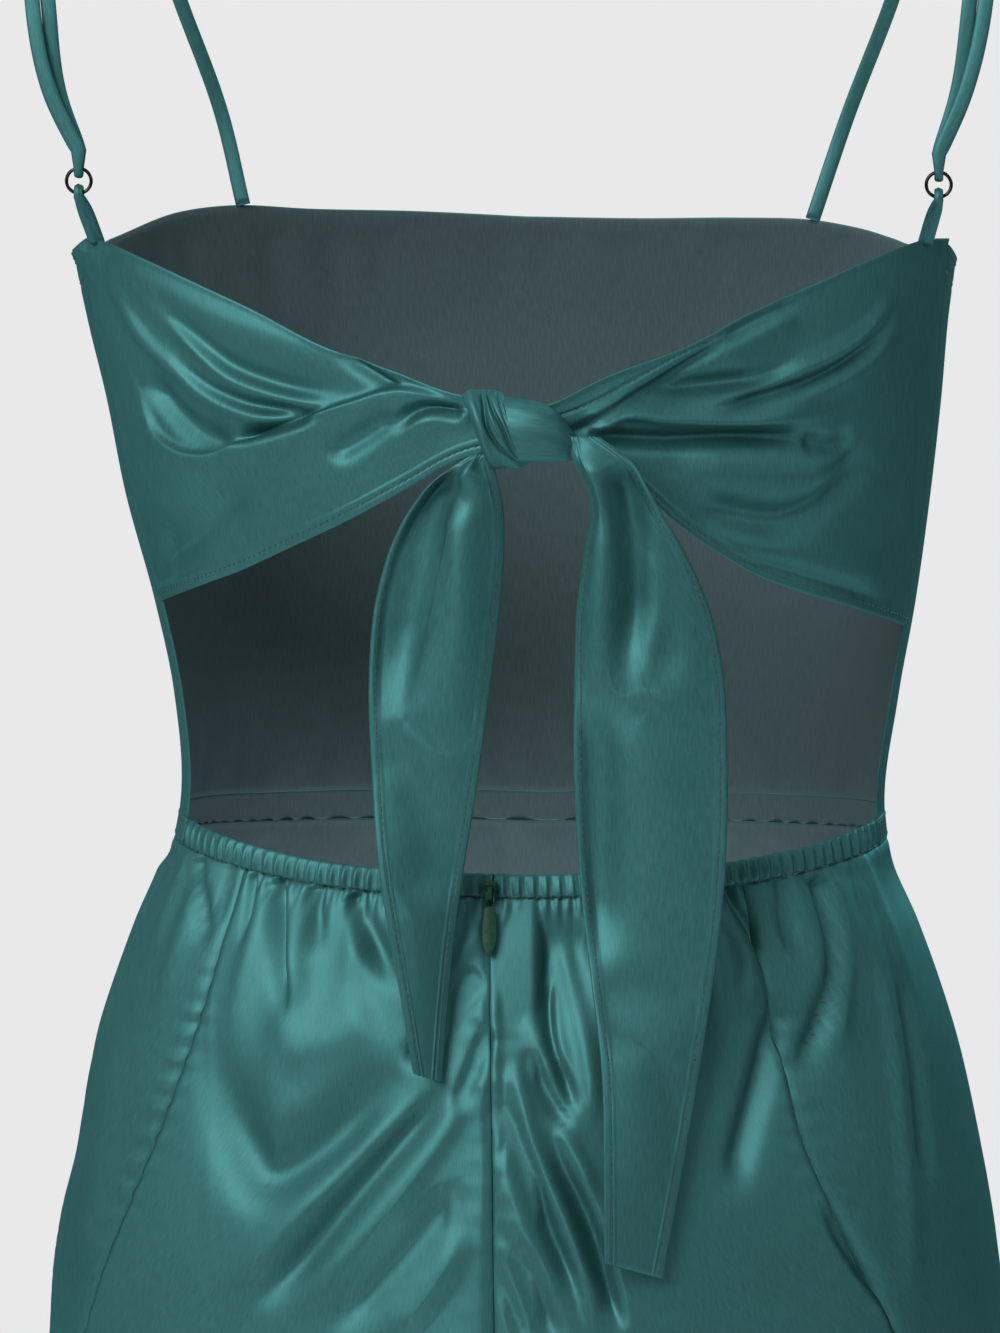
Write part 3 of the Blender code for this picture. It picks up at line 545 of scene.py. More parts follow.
@dataclass(frozen=True)
class CoatedMetal:
    """Die-cast or wire fittings with a plated or enamelled skin, worn brighter in places."""

    name: str
    deep: str
    light: str
    roughness: float
    metallic: float
    ior: float = 1.5  # the shader's own, which a metal keeps
    mark_mm: float = 1000.0 / 700.0

    def make(self) -> bpy.types.Material:
        """Builds the material, with faint handling marks in its gloss."""
        made, tree, shader = new_material(self.name)
        set_shader(shader, {"Metallic": self.metallic, "IOR": self.ior})
        here = add_node(tree, "ShaderNodeTexCoord", {}, {})
        marks = add_node(
            tree, "ShaderNodeTexNoise", {"Scale": 1.0 / (self.mark_mm * MM), "Detail": 3.0},
            {"Vector": here.outputs["Object"]},
        )
        stops = ((0.4, self.deep), (0.75, self.light))
        colour = add_node(tree, "ShaderNodeValToRGB", {"stops": stops}, {"Fac": marks.outputs["Fac"]})
        gloss = add_node(
            tree, "ShaderNodeMapRange",
            {"To Min": self.roughness - 0.06, "To Max": self.roughness + 0.08},
            {"Value": marks.outputs["Fac"]},
        )
        tree.links.new(colour.outputs["Color"], shader.inputs["Base Color"])
        tree.links.new(gloss.outputs["Result"], shader.inputs["Roughness"])
        return made


@dataclass
class Finishes:
    """Every finish of the dress, made once."""

    satin: bpy.types.Material = field(
        default_factory=Satin(
            "emerald satin, right side", "#3a696b", "#488385", 0.585, 0.80, 0.05
        ).make
    )
    wrong_side: bpy.types.Material = field(
        default_factory=Satin(
            "emerald satin, wrong side", "#3c4c4f", "#4a5c60", 0.62, 0.0, 0.20
        ).make
    )
    # a shade darker than the cloth, so that a seam shows as a fine line
    thread: bpy.types.Material = field(
        default_factory=Yarn("polyester sewing thread", "#173436", "#2b5a5a", 0.55, 0.4, 0.05).make
    )
    # dull and dark, so that the closed zip reads as one dark line
    tape: bpy.types.Material = field(
        default_factory=Yarn("woven zip tape", "#16332f", "#1d413b", 0.85, 0.5, 0.12).make
    )
    # smoother than its tape, with small lights on its turns
    nylon: bpy.types.Material = field(
        default_factory=Yarn("moulded nylon coil", "#12302b", "#1b3f38", 0.35, 1.5, 0.02).make
    )
    # a dark green skin with a soft gloss
    enamel: bpy.types.Material = field(
        default_factory=CoatedMetal(
            "green enamelled zinc", "#123a2b", "#1c4a38", 0.34, 0.0, 1.22
        ).make
    )
    # dark mirror-like metal, which takes the pale studio along its edges
    gunmetal: bpy.types.Material = field(
        default_factory=CoatedMetal("gunmetal plated wire", "#2d2b2d", "#4a4648", 0.26, 1.0).make
    )

    @property
    def cloth(self) -> tuple[bpy.types.Material, bpy.types.Material]:
        """The satin's right side and its wrong side."""
        return self.satin, self.wrong_side


# ---------------------------------------------------------------------------- meshes


@dataclass
class Piece:
    """A finished piece: its object, the body it rides on, its slot and what it stands for."""

    thing: bpy.types.Object
    body: Body
    slot: str
    stands_for: tuple[str, ...] = ()


def satin_piece(thing: bpy.types.Object, *stands_for: str) -> Piece:
    """A piece of cloth on the dress."""
    return Piece(thing, Body.DRESS, "satin", stands_for)


def link(name: str, data: bpy.types.ID) -> bpy.types.Object:
    """Makes an object of some data at the origin and puts it in the scene."""
    thing = bpy.data.objects.new(name, data)
    bpy.context.scene.collection.objects.link(thing)
    return thing


def frozen(guide: bpy.types.Object) -> bpy.types.Mesh:
    """The plain mesh that an object comes to with its modifiers, and the object is removed."""
    graph = bpy.context.evaluated_depsgraph_get()
    mesh = bpy.data.meshes.new_from_object(guide.evaluated_get(graph))
    bpy.data.objects.remove(guide, do_unlink=True)
    return mesh


def link_mesh(
    name: str,
    points: np.ndarray,
    quads: np.ndarray,
    materials: Sequence[bpy.types.Material],
    material_of: np.ndarray | None = None,
    uv: np.ndarray | None = None,
) -> bpy.types.Object:
    """Makes a mesh object at the origin.

    Args:
        name: the object's name.
        points: its points in millimetres.
        quads: four point numbers for each face.
        materials: its materials.
        material_of: each face's material number.
        uv: each point's place on the flat cloth, in millimetres.

    Returns:
        The object.
    """
    mesh = bpy.data.meshes.new(name)
    mesh.from_pydata([], [], [])
    mesh.vertices.add(len(points))
    mesh.vertices.foreach_set("co", (points * MM).astype(np.float32).ravel())
    mesh.loops.add(quads.size)
    mesh.loops.foreach_set("vertex_index", quads.astype(np.int32).ravel())
    mesh.polygons.add(len(quads))
    mesh.polygons.foreach_set("loop_start", np.arange(0, quads.size, 4, dtype=np.int32))
    for one in materials:
        mesh.materials.append(one)
    if material_of is not None:
        mesh.polygons.foreach_set("material_index", material_of.astype(np.int32))
    if uv is not None:
        layer = mesh.uv_layers.new(name="cloth")
        layer.data.foreach_set("uv", (uv[quads.ravel()] * MM).astype(np.float32).ravel())
    mesh.update(calc_edges=True)
    mesh.validate()
    mesh.shade_smooth()
    return link(name, mesh)


def grid_normals(grid: np.ndarray) -> np.ndarray:
    """The normals of a grid of points, along rows crossed with down the columns."""
    return unit(np.cross(np.gradient(grid, axis=1), np.gradient(grid, axis=0)))


def cloth_uv(grid: np.ndarray) -> np.ndarray:
    """Each point's place on the flat cloth, from the grid's mean spacing."""
    across = np.linalg.norm(np.diff(grid, axis=1), axis=-1).mean(axis=0)
    down = np.linalg.norm(np.diff(grid, axis=0), axis=-1).mean(axis=1)
    u = np.concatenate([[0.0], np.cumsum(across)])
    v = np.concatenate([[0.0], np.cumsum(down)])
    return np.stack(np.meshgrid(u, v), axis=-1)


def shell(
    name: str,
    outer: np.ndarray,
    outward: Callable[[np.ndarray], np.ndarray],
    materials: Sequence[bpy.types.Material],
    thickness: float = CLOTH,
) -> bpy.types.Object:
    """A closed thin shell of cloth with rounded edges.

    Args:
        name: the object's name.
        outer: the right side's points, rows by columns, in millimetres.
        outward: gives a direction that points out of the dress at each point.
        materials: the finishes of the right side and of the wrong side.
        thickness: how thick the cloth is drawn.

    Returns:
        The object.
    """
    normal = grid_normals(outer)
    if (normal * outward(outer)).sum() < 0:
        normal = -normal
    inner = outer - normal * thickness
    rows, columns = outer.shape[:2]
    count = rows * columns
    index = np.arange(count).reshape(rows, columns)
    face = np.stack([index[:-1, :-1], index[:-1, 1:], index[1:, 1:], index[1:, :-1]], axis=-1)
    face = face.reshape(-1, 4)
    border = [(0, column) for column in range(columns)]
    border += [(row, columns - 1) for row in range(1, rows)]
    border += [(rows - 1, column) for column in range(columns - 2, -1, -1)]
    border += [(row, 0) for row in range(rows - 2, 0, -1)]
    edge = np.array([index[place] for place in border])
    inside = []
    for row, column in border:
        inside.append(index[min(max(row, 1), rows - 2), min(max(column, 1), columns - 2)])
    flat = outer.reshape(-1, 3)
    under = inner.reshape(-1, 3)
    push = unit(flat[edge] - flat[np.array(inside)]) * thickness * 0.5
    rim = (flat[edge] + under[edge]) / 2 + push
    middle = 2 * count + np.arange(len(edge))
    after = np.roll(np.arange(len(edge)), -1)
    over = np.stack([edge[after], edge, middle, middle[after]], axis=-1)
    below = np.stack([middle[after], middle, edge + count, edge[after] + count], axis=-1)
    quads = np.concatenate([face, face[:, ::-1] + count, over, below])
    probe = face[len(face) // 2]
    turned = np.cross(flat[probe[1]] - flat[probe[0]], flat[probe[3]] - flat[probe[0]])
    if turned @ (flat[probe[0]] - under[probe[0]]) < 0:
        quads = quads[:, ::-1]
    points = np.concatenate([flat, under, rim])
    finish = np.concatenate([np.zeros(len(face)), np.ones(len(face)), np.zeros(2 * len(edge))])
    place = cloth_uv(outer).reshape(-1, 2)
    uv = np.concatenate([place, place, place[edge]])
    return link_mesh(name, points, quads, materials, finish, uv)


def tube(
    name: str,
    sections: np.ndarray,
    materials: Sequence[bpy.types.Material],
    closed: bool = False,
) -> bpy.types.Object:
    """A skin over cross-sections of equal point counts, with small pinched ends or in a loop.

    Args:
        name: the object's name.
        sections: stations by sides by three, in millimetres.
        materials: its finish.
        closed: whether the last station joins the first.

    Returns:
        The object.
    """
    if not closed:
        first = sections[:1].mean(axis=1, keepdims=True)
        last = sections[-1:].mean(axis=1, keepdims=True)
        caps = [first + (sections[:1] - first) * 0.02, sections, last + (sections[-1:] - last) * 0.02]
        sections = np.concatenate(caps)
    count, sides = sections.shape[:2]
    index = np.arange(count * sides).reshape(count, sides)
    here = index if closed else index[:-1]
    beyond = np.roll(index, -1, axis=0) if closed else index[1:]
    quads = np.stack(
        [here, np.roll(here, -1, axis=1), np.roll(beyond, -1, axis=1), beyond], axis=-1
    ).reshape(-1, 4)
    if not closed:
        steps = np.arange(sides // 2 - 1)
        lid = np.stack([steps, steps + 1, sides - 2 - steps, sides - 1 - steps], axis=-1)
        quads = np.concatenate([quads, index[0][lid][:, ::-1], index[-1][lid]])
    points = sections.reshape(-1, 3)
    middles = sections.mean(axis=1)
    outward = (points - np.repeat(middles, sides, axis=0))[quads[0, 0]]
    corner = points[quads[0]]
    if np.cross(corner[1] - corner[0], corner[3] - corner[0]) @ outward < 0:
        quads = quads[:, ::-1]
    round_it = np.linalg.norm(np.diff(sections, axis=1), axis=-1).mean(axis=0)
    u = np.concatenate([[0.0], np.cumsum(round_it)])
    v = travel_of(middles)
    uv = np.stack(np.meshgrid(u, v), axis=-1).reshape(-1, 2)
    return link_mesh(name, points, quads, materials, None, uv)


def frames(route: np.ndarray) -> tuple[np.ndarray, np.ndarray]:
    """A route's level side, and the normal to it and to the route, at each point."""
    ahead = unit(np.gradient(route, axis=0))
    level = unit(np.array([1.0, 0.0, 0.0]) - ahead * ahead[:, :1])
    return level, np.cross(ahead, level)


def line_on(grid: np.ndarray, inset: float, edge: str) -> np.ndarray:
    """A line on a grid of points at an even distance from one of its edges.

    Args:
        grid: rows by columns by three, in millimetres.
        inset: the distance from the edge.
        edge: top, bottom, first or last, as the grid's rows and columns run.

    Returns:
        The line's points.
    """
    turned = {
        "top": grid,
        "bottom": grid[::-1],
        "first": grid.swapaxes(0, 1),
        "last": grid.swapaxes(0, 1)[::-1],
    }[edge]
    points = []
    for column in range(turned.shape[1]):
        strand = turned[:, column]
        travel = travel_of(strand)
        points.append([np.interp(inset, travel, strand[:, axis]) for axis in range(3)])
    return np.array(points)


# ---------------------------------------------------------------------------- sewing


@dataclass
class Row:
    """What repeats along a line: small rods, such as stitches or the loops of a nylon coil."""

    finish: bpy.types.Material
    pitch: float
    length: float
    radius: float
    sides: int = 5
    turn_deg: float = 0.0

    def tree(self) -> bpy.types.NodeTree:
        """Builds the node tree that lays rods along every line of a mesh of edges."""
        tree = bpy.data.node_groups.new("rods along a line", "GeometryNodeTree")
        face = tree.interface
        face.new_socket("Lines", in_out="INPUT", socket_type="NodeSocketGeometry")
        face.new_socket("Across", in_out="INPUT", socket_type="NodeSocketVector")
        for name in ("Pitch", "Length", "Radius"):
            face.new_socket(name, in_out="INPUT", socket_type="NodeSocketFloat")
        face.new_socket("Sides", in_out="INPUT", socket_type="NodeSocketInt")
        face.new_socket("Turn", in_out="INPUT", socket_type="NodeSocketVector")
        face.new_socket("Finish", in_out="INPUT", socket_type="NodeSocketMaterial")
        face.new_socket("Rods", in_out="OUTPUT", socket_type="NodeSocketGeometry")
        given = add_node(tree, "NodeGroupInput", {}, {}).outputs
        curve = add_node(tree, "GeometryNodeMeshToCurve", {}, {"Mesh": given["Lines"]})
        aimed = add_node(
            tree, "GeometryNodeSetCurveNormal", {"mode": "FREE"},
            {"Curve": curve.outputs["Curve"], "Normal": given["Across"]},
        )
        points = add_node(
            tree, "GeometryNodeCurveToPoints", {"mode": "LENGTH"},
            {"Curve": aimed.outputs["Curve"], "Length": given["Pitch"]},
        )
        rod = add_node(
            tree, "GeometryNodeMeshCylinder", {},
            {"Radius": given["Radius"], "Depth": given["Length"], "Vertices": given["Sides"]},
        )
        placed = add_node(
            tree,
            "GeometryNodeInstanceOnPoints",
            {},
            {
                "Points": points.outputs["Points"],
                "Instance": rod.outputs["Mesh"],
                "Rotation": points.outputs["Rotation"],
            },
        )
        turned = add_node(
            tree, "GeometryNodeRotateInstances", {},
            {"Instances": placed.outputs["Instances"], "Rotation": given["Turn"]},
        )
        real = add_node(
            tree, "GeometryNodeRealizeInstances", {}, {"Geometry": turned.outputs["Instances"]}
        )
        dressed = add_node(
            tree, "GeometryNodeSetMaterial", {},
            {"Geometry": real.outputs["Geometry"], "Material": given["Finish"]},
        )
        add_node(tree, "NodeGroupOutput", {}, {"Rods": dressed.outputs["Geometry"]})
        return tree

    def lay(self, name: str, lines: Sequence[np.ndarray]) -> bpy.types.Object:
        """Lays the rods along lines.

        Args:
            name: the new object's name.
            lines: the points of each line, in millimetres.

        Returns:
            A plain mesh object of all the rods.
        """
        points = np.concatenate(lines) * MM
        edges: list[tuple[int, int]] = []
        first = 0
        for line in lines:
            edges += [(first + step, first + step + 1) for step in range(len(line) - 1)]
            first += len(line)
        guide_mesh = bpy.data.meshes.new(f"{name}.lines")
        guide_mesh.from_pydata([tuple(point) for point in points], edges, [])
        guide = link(f"{name}.lines", guide_mesh)
        tree = self.tree()
        modifier = guide.modifiers.new("rods", "NODES")
        modifier.node_group = tree
        values = {
            "Pitch": self.pitch * MM,
            "Length": self.length * MM,
            "Radius": self.radius * MM,
            "Sides": self.sides,
            "Turn": (0.0, math.radians(self.turn_deg), 0.0),
            "Across": (1.0, 0.0, 0.0),
            "Finish": self.finish,
        }
        for socket in tree.interface.items_tree:
            if socket.in_out == "INPUT" and socket.name in values:
                modifier[socket.identifier] = values[socket.name]
        mesh = frozen(guide)
        mesh.name = name
        mesh.shade_smooth()
        return link(name, mesh)


@dataclass
class SewingBox:
    """Collects the lines of stitches as the cloth is made, and sews them at the end."""

    finishes: Finishes
    pitch: float = 2.5
    stitch: float = 1.9
    thread: float = 0.17
    rows: dict[str, list[np.ndarray]] = field(default_factory=dict)

    def mark(self, name: str, line: np.ndarray, outward: np.ndarray) -> None:
        """Marks a line of stitches, so that half of the thread shows over the cloth."""
        self.rows.setdefault(name, []).append(line + outward * self.thread * 0.4)

    def pieces(self) -> list[Piece]:
        """Sews every marked row."""
        row = Row(self.finishes.thread, self.pitch, self.stitch, self.thread)
        made = []
        for name, lines in self.rows.items():
            made.append(satin_piece(row.lay(f"stitches_{name}", lines)))
        return made


BEHIND = np.array([0.0, 1.0, 0.0])  # the way the open back faces


def from_axis(points: np.ndarray) -> np.ndarray:
    """A level direction away from the body's middle line."""
    return points * np.array([1.0, 1.0, 0.0])


def backwards(points: np.ndarray) -> np.ndarray:
    """The direction behind the dress, at each point."""
    return np.broadcast_to(BEHIND, points.shape)


def wander(travel: np.ndarray, seed: float) -> np.ndarray:
    """A slow uneven wave between about -1 and 1, the same for the same seed."""
    slow = np.sin(travel / 17.0 + seed) + 0.7 * np.sin(travel / 7.3 + 2.1 * seed)
    return (slow + 0.5 * np.sin(travel / 3.9 + 3.7 * seed)) / 2.2


# ---------------------------------------------------------------------------- bodice


@dataclass(frozen=True)
class NeckRow:
    """The front's upper edge, at an angle away from the centre front."""

    angle: float
    left: float
    right: float


@dataclass(frozen=True)
class WingEdge:
    """A wing's upper and lower edges and how far it stands off the form."""

    angle: float
    top: float
    left_bottom: float
    right_bottom: float
    out: float


@dataclass
class Bodice:
    """The front and the two draped back wings."""

    finishes: Finishes
    box: SewingBox
    crease_level: float = -220.0  # where angles are measured as lengths
    degree_mm: float = 2.3
    hem: float = 4.4
    hem_rise: float = 0.35
    hem_stitch: float = 2.6
    columns: int = 150
    rows: int = 112
    front_columns: int = 150
    front_rows: int = 84
    knot_side: dict[Side, float] = field(
        default_factory=lambda: {Side.LEFT: 3.0, Side.RIGHT: -3.4}
    )
    neck: tuple[NeckRow, ...] = (
        NeckRow(0.0, -156.5, -156.5),
        NeckRow(15.0, -154.5, -157.0),
        NeckRow(30.0, -153.5, -156.5),
        NeckRow(42.0, -152.0, -157.0),
        NeckRow(52.0, -154.0, -160.0),
        NeckRow(65.0, -161.0, -166.0),
        NeckRow(80.0, -168.0, -170.0),
        NeckRow(95.0, -168.5, -167.0),
        NeckRow(108.0, -165.5, -159.5),
    )
    wing_edges: tuple[WingEdge, ...] = (
        WingEdge(0.0, -211.5, -227.5, -224.0, 17.0),
        WingEdge(5.0, -210.5, -230.5, -226.0, 16.0),
        WingEdge(14.0, -202.5, -242.5, -237.0, 11.0),
        WingEdge(22.0, -195.5, -252.5, -254.0, 8.0),
        WingEdge(32.0, -184.0, -262.5, -269.0, 5.5),
        WingEdge(42.0, -175.0, -271.0, -277.5, 3.5),
        WingEdge(52.0, -167.5, -277.0, -283.0, 2.0),
        WingEdge(65.0, -161.5, -282.5, -289.0, 0.6),
        WingEdge(79.0, -161.0, -287.5, -294.0, 0.0),
    )

    left_creases: tuple[Crease, ...] = (
        # the broad band under the upper edge, and the small pleat that splits off it
        Crease(((68, -164), (49.5, -177), (37.5, -187), (27, -194), (20, -200), (13, -208)), 2.0, 5, 8),
        Crease(((21, -194.5), (18, -200), (12.5, -209)), -1.8, 1.0, 2.6, start=0.4),
        # two long thin ridges with the troughs between them
        Crease(((53, -178), (44, -193), (38.5, -202), (31, -208), (21, -212)), -1.6, 4, 2),
        Crease(
            ((50.5, -185), (44.5, -196), (39, -206), (32.5, -211), (25, -214), (18, -214)), 2.4, 3, 2.4
        ),
        Crease(((50, -199), (44, -209), (36.5, -215), (26, -216.5)), -1.8, 2.0, 2.2),
        Crease(
            ((66, -170), (59.5, -185), (54, -197), (49, -204), (43, -212.5), (36.5, -217.5),
             (28.5, -220), (23, -218.5)),
            2.8, 2.6, 3.2,
        ),
        # the big fold that laps over the cloth above it
        Crease(((60, -204), (53, -219), (46, -227), (39, -229)), -3.0, 6, 3.5),
        Crease(((40, -229), (35, -226.5), (30, -223.5), (23.5, -218.5)), -3.4, 3.0, 2.0),
        Crease(
            ((64.5, -200), (61.5, -217), (58, -228), (51.5, -234.5), (45.5, -235.5), (37.5, -230.5),
             (29, -223.5), (23.5, -219.5), (18.5, -215.5), (14, -212), (5.5, -213.5)),
            4.6, 2.2, 11, lean=-2.4, start=0.3, end=0.12,
        ),
        # its smooth lower lobe
        Crease(((70, -268), (53, -261), (43.5, -251), (37, -239)), -2.0, 7, 7),
        Crease(((66, -279), (45.5, -267), (31, -249), (22, -237), (16, -227)), 2.2, 8, 9),
        Crease(((24, -233), (16.5, -223), (13, -217)), -2.0, 3, 3),
        # the small curl at the knot
        Crease(
            ((14.5, -225), (12.6, -219.5), (10, -215.8), (5, -215.4)), -2.6, 1.6, 2.4, start=0.4, end=0.1
        ),
        Crease(
            ((12.8, -226), (11.2, -220.5), (8.6, -217), (4, -216.6)), 1.6, 1.0, 3.0, start=0.4, end=0.1
        ),
    )
    right_creases: tuple[Crease, ...] = (
        # under the upper edge
        Crease(((-25.5, -199.5), (-29.5, -194.5), (-34.5, -188), (-40, -182)), 1.8, 4, 5),
        Crease(((-27, -194), (-33, -186.5), (-40, -180)), -1.3, 2, 2),
        Crease(((-17, -209), (-27, -207), (-34.5, -205.5), (-41, -199)), -2.2, 3.4, 2.6),
        # two thin ridges that sweep up to the strap
        Crease(
            ((-20, -213.5), (-27, -212.5), (-34.5, -207), (-43, -201), (-49.5, -195.5), (-56.5, -185),
             (-61, -176)),
            2.3, 2.4, 2.0,
        ),
        Crease(
            ((-25, -215), (-34.5, -211.5), (-43, -206.5), (-53, -196), (-57.5, -189)), -1.5, 1.8, 1.8
        ),
        Crease(
            ((-29.5, -215.5), (-37.5, -213.5), (-46.5, -208), (-53, -202), (-58.5, -193), (-62, -183)),
            2.1, 2.2, 4.0,
        ),
        # the level pleat with its pointed end and the dark line under it
        Crease(
            ((-8.5, -220.5), (-11, -219.5), (-13, -216.5), (-20, -217.5), (-29.5, -218.5),
             (-40.5, -218.5), (-51, -216)),
            3.6, 3.4, 2.4, lean=1.4, start=0.08, end=0.45,
        ),
        Crease(
            ((-9, -223), (-14, -224), (-20, -224.8), (-29.5, -224.5), (-40.5, -226), (-49, -228)),
            -2.6, 2.0, 3.0, start=0.1, end=0.4,
        ),
        Crease(((-40.5, -227), (-47, -228.5), (-52, -225)), -1.8, 3, 3),
        # the big smooth bulge and the arc that bounds it
        Crease(((-20, -233), (-32.5, -238), (-41, -239), (-52, -234)), 3.4, 9, 8),
        Crease(
            ((-54, -226), (-52.5, -235), (-47, -244.5), (-38.5, -252), (-30, -249.5), (-22, -243)),
            -2.5, 4, 6,
        ),
        # above the lower hem
        Crease(((-25, -257), (-35.5, -262.5), (-49, -269.5), (-68, -277)), 1.4, 5, 5),
        Crease(((-28, -264), (-42.5, -272.5), (-54, -278.5), (-67, -286)), -1.0, 2, 2),
        Crease(((-69, -215), (-70.5, -243), (-71.5, -270)), 0.8, 5, 5),
    )

    # the turned hem of the right wing: an angle and a height on its inner edge and its stitches
    band_edge: tuple[tuple[float, float], ...] = (
        (-30.0, -190.0), (-22.5, -199.0), (-17.0, -207.0), (-12.5, -213.0), (-8.0, -219.5), (0.0, -226.0)
    )
    band_stitches: tuple[tuple[float, float], ...] = (
        (-30.0, -189.0), (-21.0, -198.0), (-15.5, -205.5), (-10.5, -212.0), (-7.0, -216.0), (0.0, -220.0)
    )

    def neckline(self, angle: np.ndarray) -> np.ndarray:
        """The height of the front's upper edge."""
        turn = away(angle, 180.0)
        left = column_at(self.neck, "angle", "left", np.abs(turn))
        right = column_at(self.neck, "angle", "right", np.abs(turn))
        return np.where(turn < 0, left, right)

    def flat_place(self, angle: np.ndarray) -> np.ndarray:
        """An angle as a length on the flat cloth."""
        return FORM.along(angle, self.crease_level)

    def corner(self, angle: np.ndarray, z: np.ndarray) -> np.ndarray:
        """The left armhole's corner, which stands off the body where the tab pulls at it."""
        return 3.6 * bump(np.hypot((angle - 74.0) * self.degree_mm * 0.7, z + 166.0), 7.5)

    def turned_band(self, angle: np.ndarray, z: np.ndarray) -> np.ndarray:
        """The right wing's upper hem, turned outwards where it nears the knot."""
        grown = rise(-angle, 3.0, 6.0) * (1.0 - rise(-angle, 22.0, 30.0))
        inner = smooth(*zip(*self.band_edge), angle)
        stitched = smooth(*zip(*self.band_stitches), angle)
        band = 1.6 * rise(z - inner, -0.9, 0.4)
        return grown * (band - 0.5 * bump(z - stitched, 0.5) - 1.6 * bump(z - inner + 2.6, 2.2))

    def wing(self, side: Side) -> Piece:
        """One back wing, from the side seam to where it goes into the knot."""
        seam = SIDE_SEAM[side] - side.sign * 0.1
        share = np.linspace(0.0, 1.0, self.columns)[None, :]
        down = np.linspace(0.0, 1.0, self.rows)[:, None]
        angle = seam + (self.knot_side[side] - seam) * share
        top = column_at(self.wing_edges, "angle", "top", np.abs(angle))
        bottom = column_at(self.wing_edges, "angle", f"{side.value}_bottom", np.abs(angle))
        off = column_at(self.wing_edges, "angle", "out", np.abs(angle))
        if side is Side.LEFT:
            top = top - 4.4 * rise(angle, 69.0, 74.5)
        else:
            top = top - 2.8 * bump(angle + 4.0, 4.5)
        z = top + (bottom - top) * down
        angle = np.broadcast_to(angle, z.shape)
        along = self.flat_place(angle)
        creases = self.left_creases if side is Side.LEFT else self.right_creases
        lift = crease(creases, along, z, self.flat_place)
        calm = rise(share, 0.0, 0.05)
        out = off + lift.out * calm
        from_hem = z - bottom
        out = out + self.hem_rise * (1.0 - rise(from_hem, self.hem, self.hem + 0.6))
        out = out - 0.25 * bump(from_hem - self.hem_stitch, 0.5) + 0.4 * bump(top - z, 1.2)
        if side is Side.LEFT:
            out = out + self.corner(angle, z)
        else:
            out = out + self.turned_band(angle, z)
        grid = FORM.point(
            angle + lift.along * calm / self.degree_mm, z + lift.up * calm, out + WALL
        )
        stitched = line_on(grid, self.hem_stitch, "bottom")
        self.box.mark(f"wing_{side.value}", stitched, unit(from_axis(grid[-1])))
        if side is Side.RIGHT:
            self.mark_band(grid, angle, z)
        name = f"wing_{side.value}_cloth"
        thing = shell(name, grid, from_axis, self.finishes.cloth)
        return satin_piece(thing, f"bodice_back_{side.value}")

    def mark_band(self, grid: np.ndarray, angle: np.ndarray, z: np.ndarray) -> None:
        """Marks the stitches of the right wing's turned hem."""
        line = []
        for column in range(grid.shape[1]):
            here = angle[0, column]
            if -26.5 < here < -7.5:
                level = smooth(*zip(*self.band_stitches[:-1]), here)
                row = int(np.argmin(np.abs(z[:, column] - level)))
                line.append(grid[row, column])
        points = np.array(line)
        self.box.mark("wing_right", through(points[::6], 1.5), BEHIND)

    def front_creases(self) -> tuple[Crease, ...]:
        """Soft upright folds of the front, uneven in place, length and depth."""
        made = []
        for step in range(15):
            angle = 106.0 + 10.6 * step + 3.0 * math.sin(2.3 * step)
            reach = 34.0 + 22.0 * abs(math.sin(1.7 * step + 0.4))
            height = 1.5 + 0.8 * math.sin(3.1 * step)
            path = ((angle, -366.0), (angle + 1.5, -366.0 + 0.6 * reach), (angle + 1.0, -366.0 + reach))
            made.append(Crease(path, height, 3.2, 3.8, start=0.1, end=0.6))
            down = ((angle + 4.0, -160.0), (angle + 3.0, -160.0 - 0.8 * reach))
            made.append(Crease(down, 0.7 * height, 4.0, 4.5, start=0.1, end=0.7))
        return tuple(made)

    def front(self) -> Piece:
        """The front, from one side seam round to the other."""
        first = SIDE_SEAM[Side.LEFT] + 0.1
        last = 360.0 + SIDE_SEAM[Side.RIGHT] - 0.1
        angle = np.linspace(first, last, self.front_columns)
        top = self.neckline(angle)
        bottom = FORM.waist_top(angle) + GAP
        down = np.linspace(0.0, 1.0, self.front_rows)[:, None]
        z = top + (bottom - top) * down
        angle = np.broadcast_to(angle, z.shape)
        lift = crease(self.front_creases(), self.flat_place(angle), z, self.flat_place)
        out = lift.out * rise(z - bottom, 0.0, 12.0)
        out = out - 0.25 * bump(top - z - 9.0, 0.6) + 0.5 * bump(top - z, 1.2)
        grid = FORM.point(angle, z, out + self.corner(angle, z) + WALL)
        for inset in (1.8, 9.0):
            line = line_on(grid, inset, "top")
            self.box.mark("neckline", line, unit(from_axis(line)))
        thing = shell("front_cloth", grid, from_axis, self.finishes.cloth, 0.7)
        return satin_piece(thing, "bodice_front")

    def pieces(self) -> list[Piece]:
        """Makes the whole bodice."""
        return [self.front(), self.wing(Side.LEFT), self.wing(Side.RIGHT)]


# ---------------------------------------------------------------------------- knot and tie ends


@dataclass(frozen=True)
class BundleRow:
    """The bundle's middle, half height and half depth at a place across the knot."""

    x: float
    y: float
    z: float
    height: float
    depth: float


@dataclass(frozen=True)
class TailRow:
    """A tie end's two edges, depth and curl at a height, and how it turns from side to side."""

    z: float
    inner: float
    outer: float
    y: float
    curl: float
    slope: float


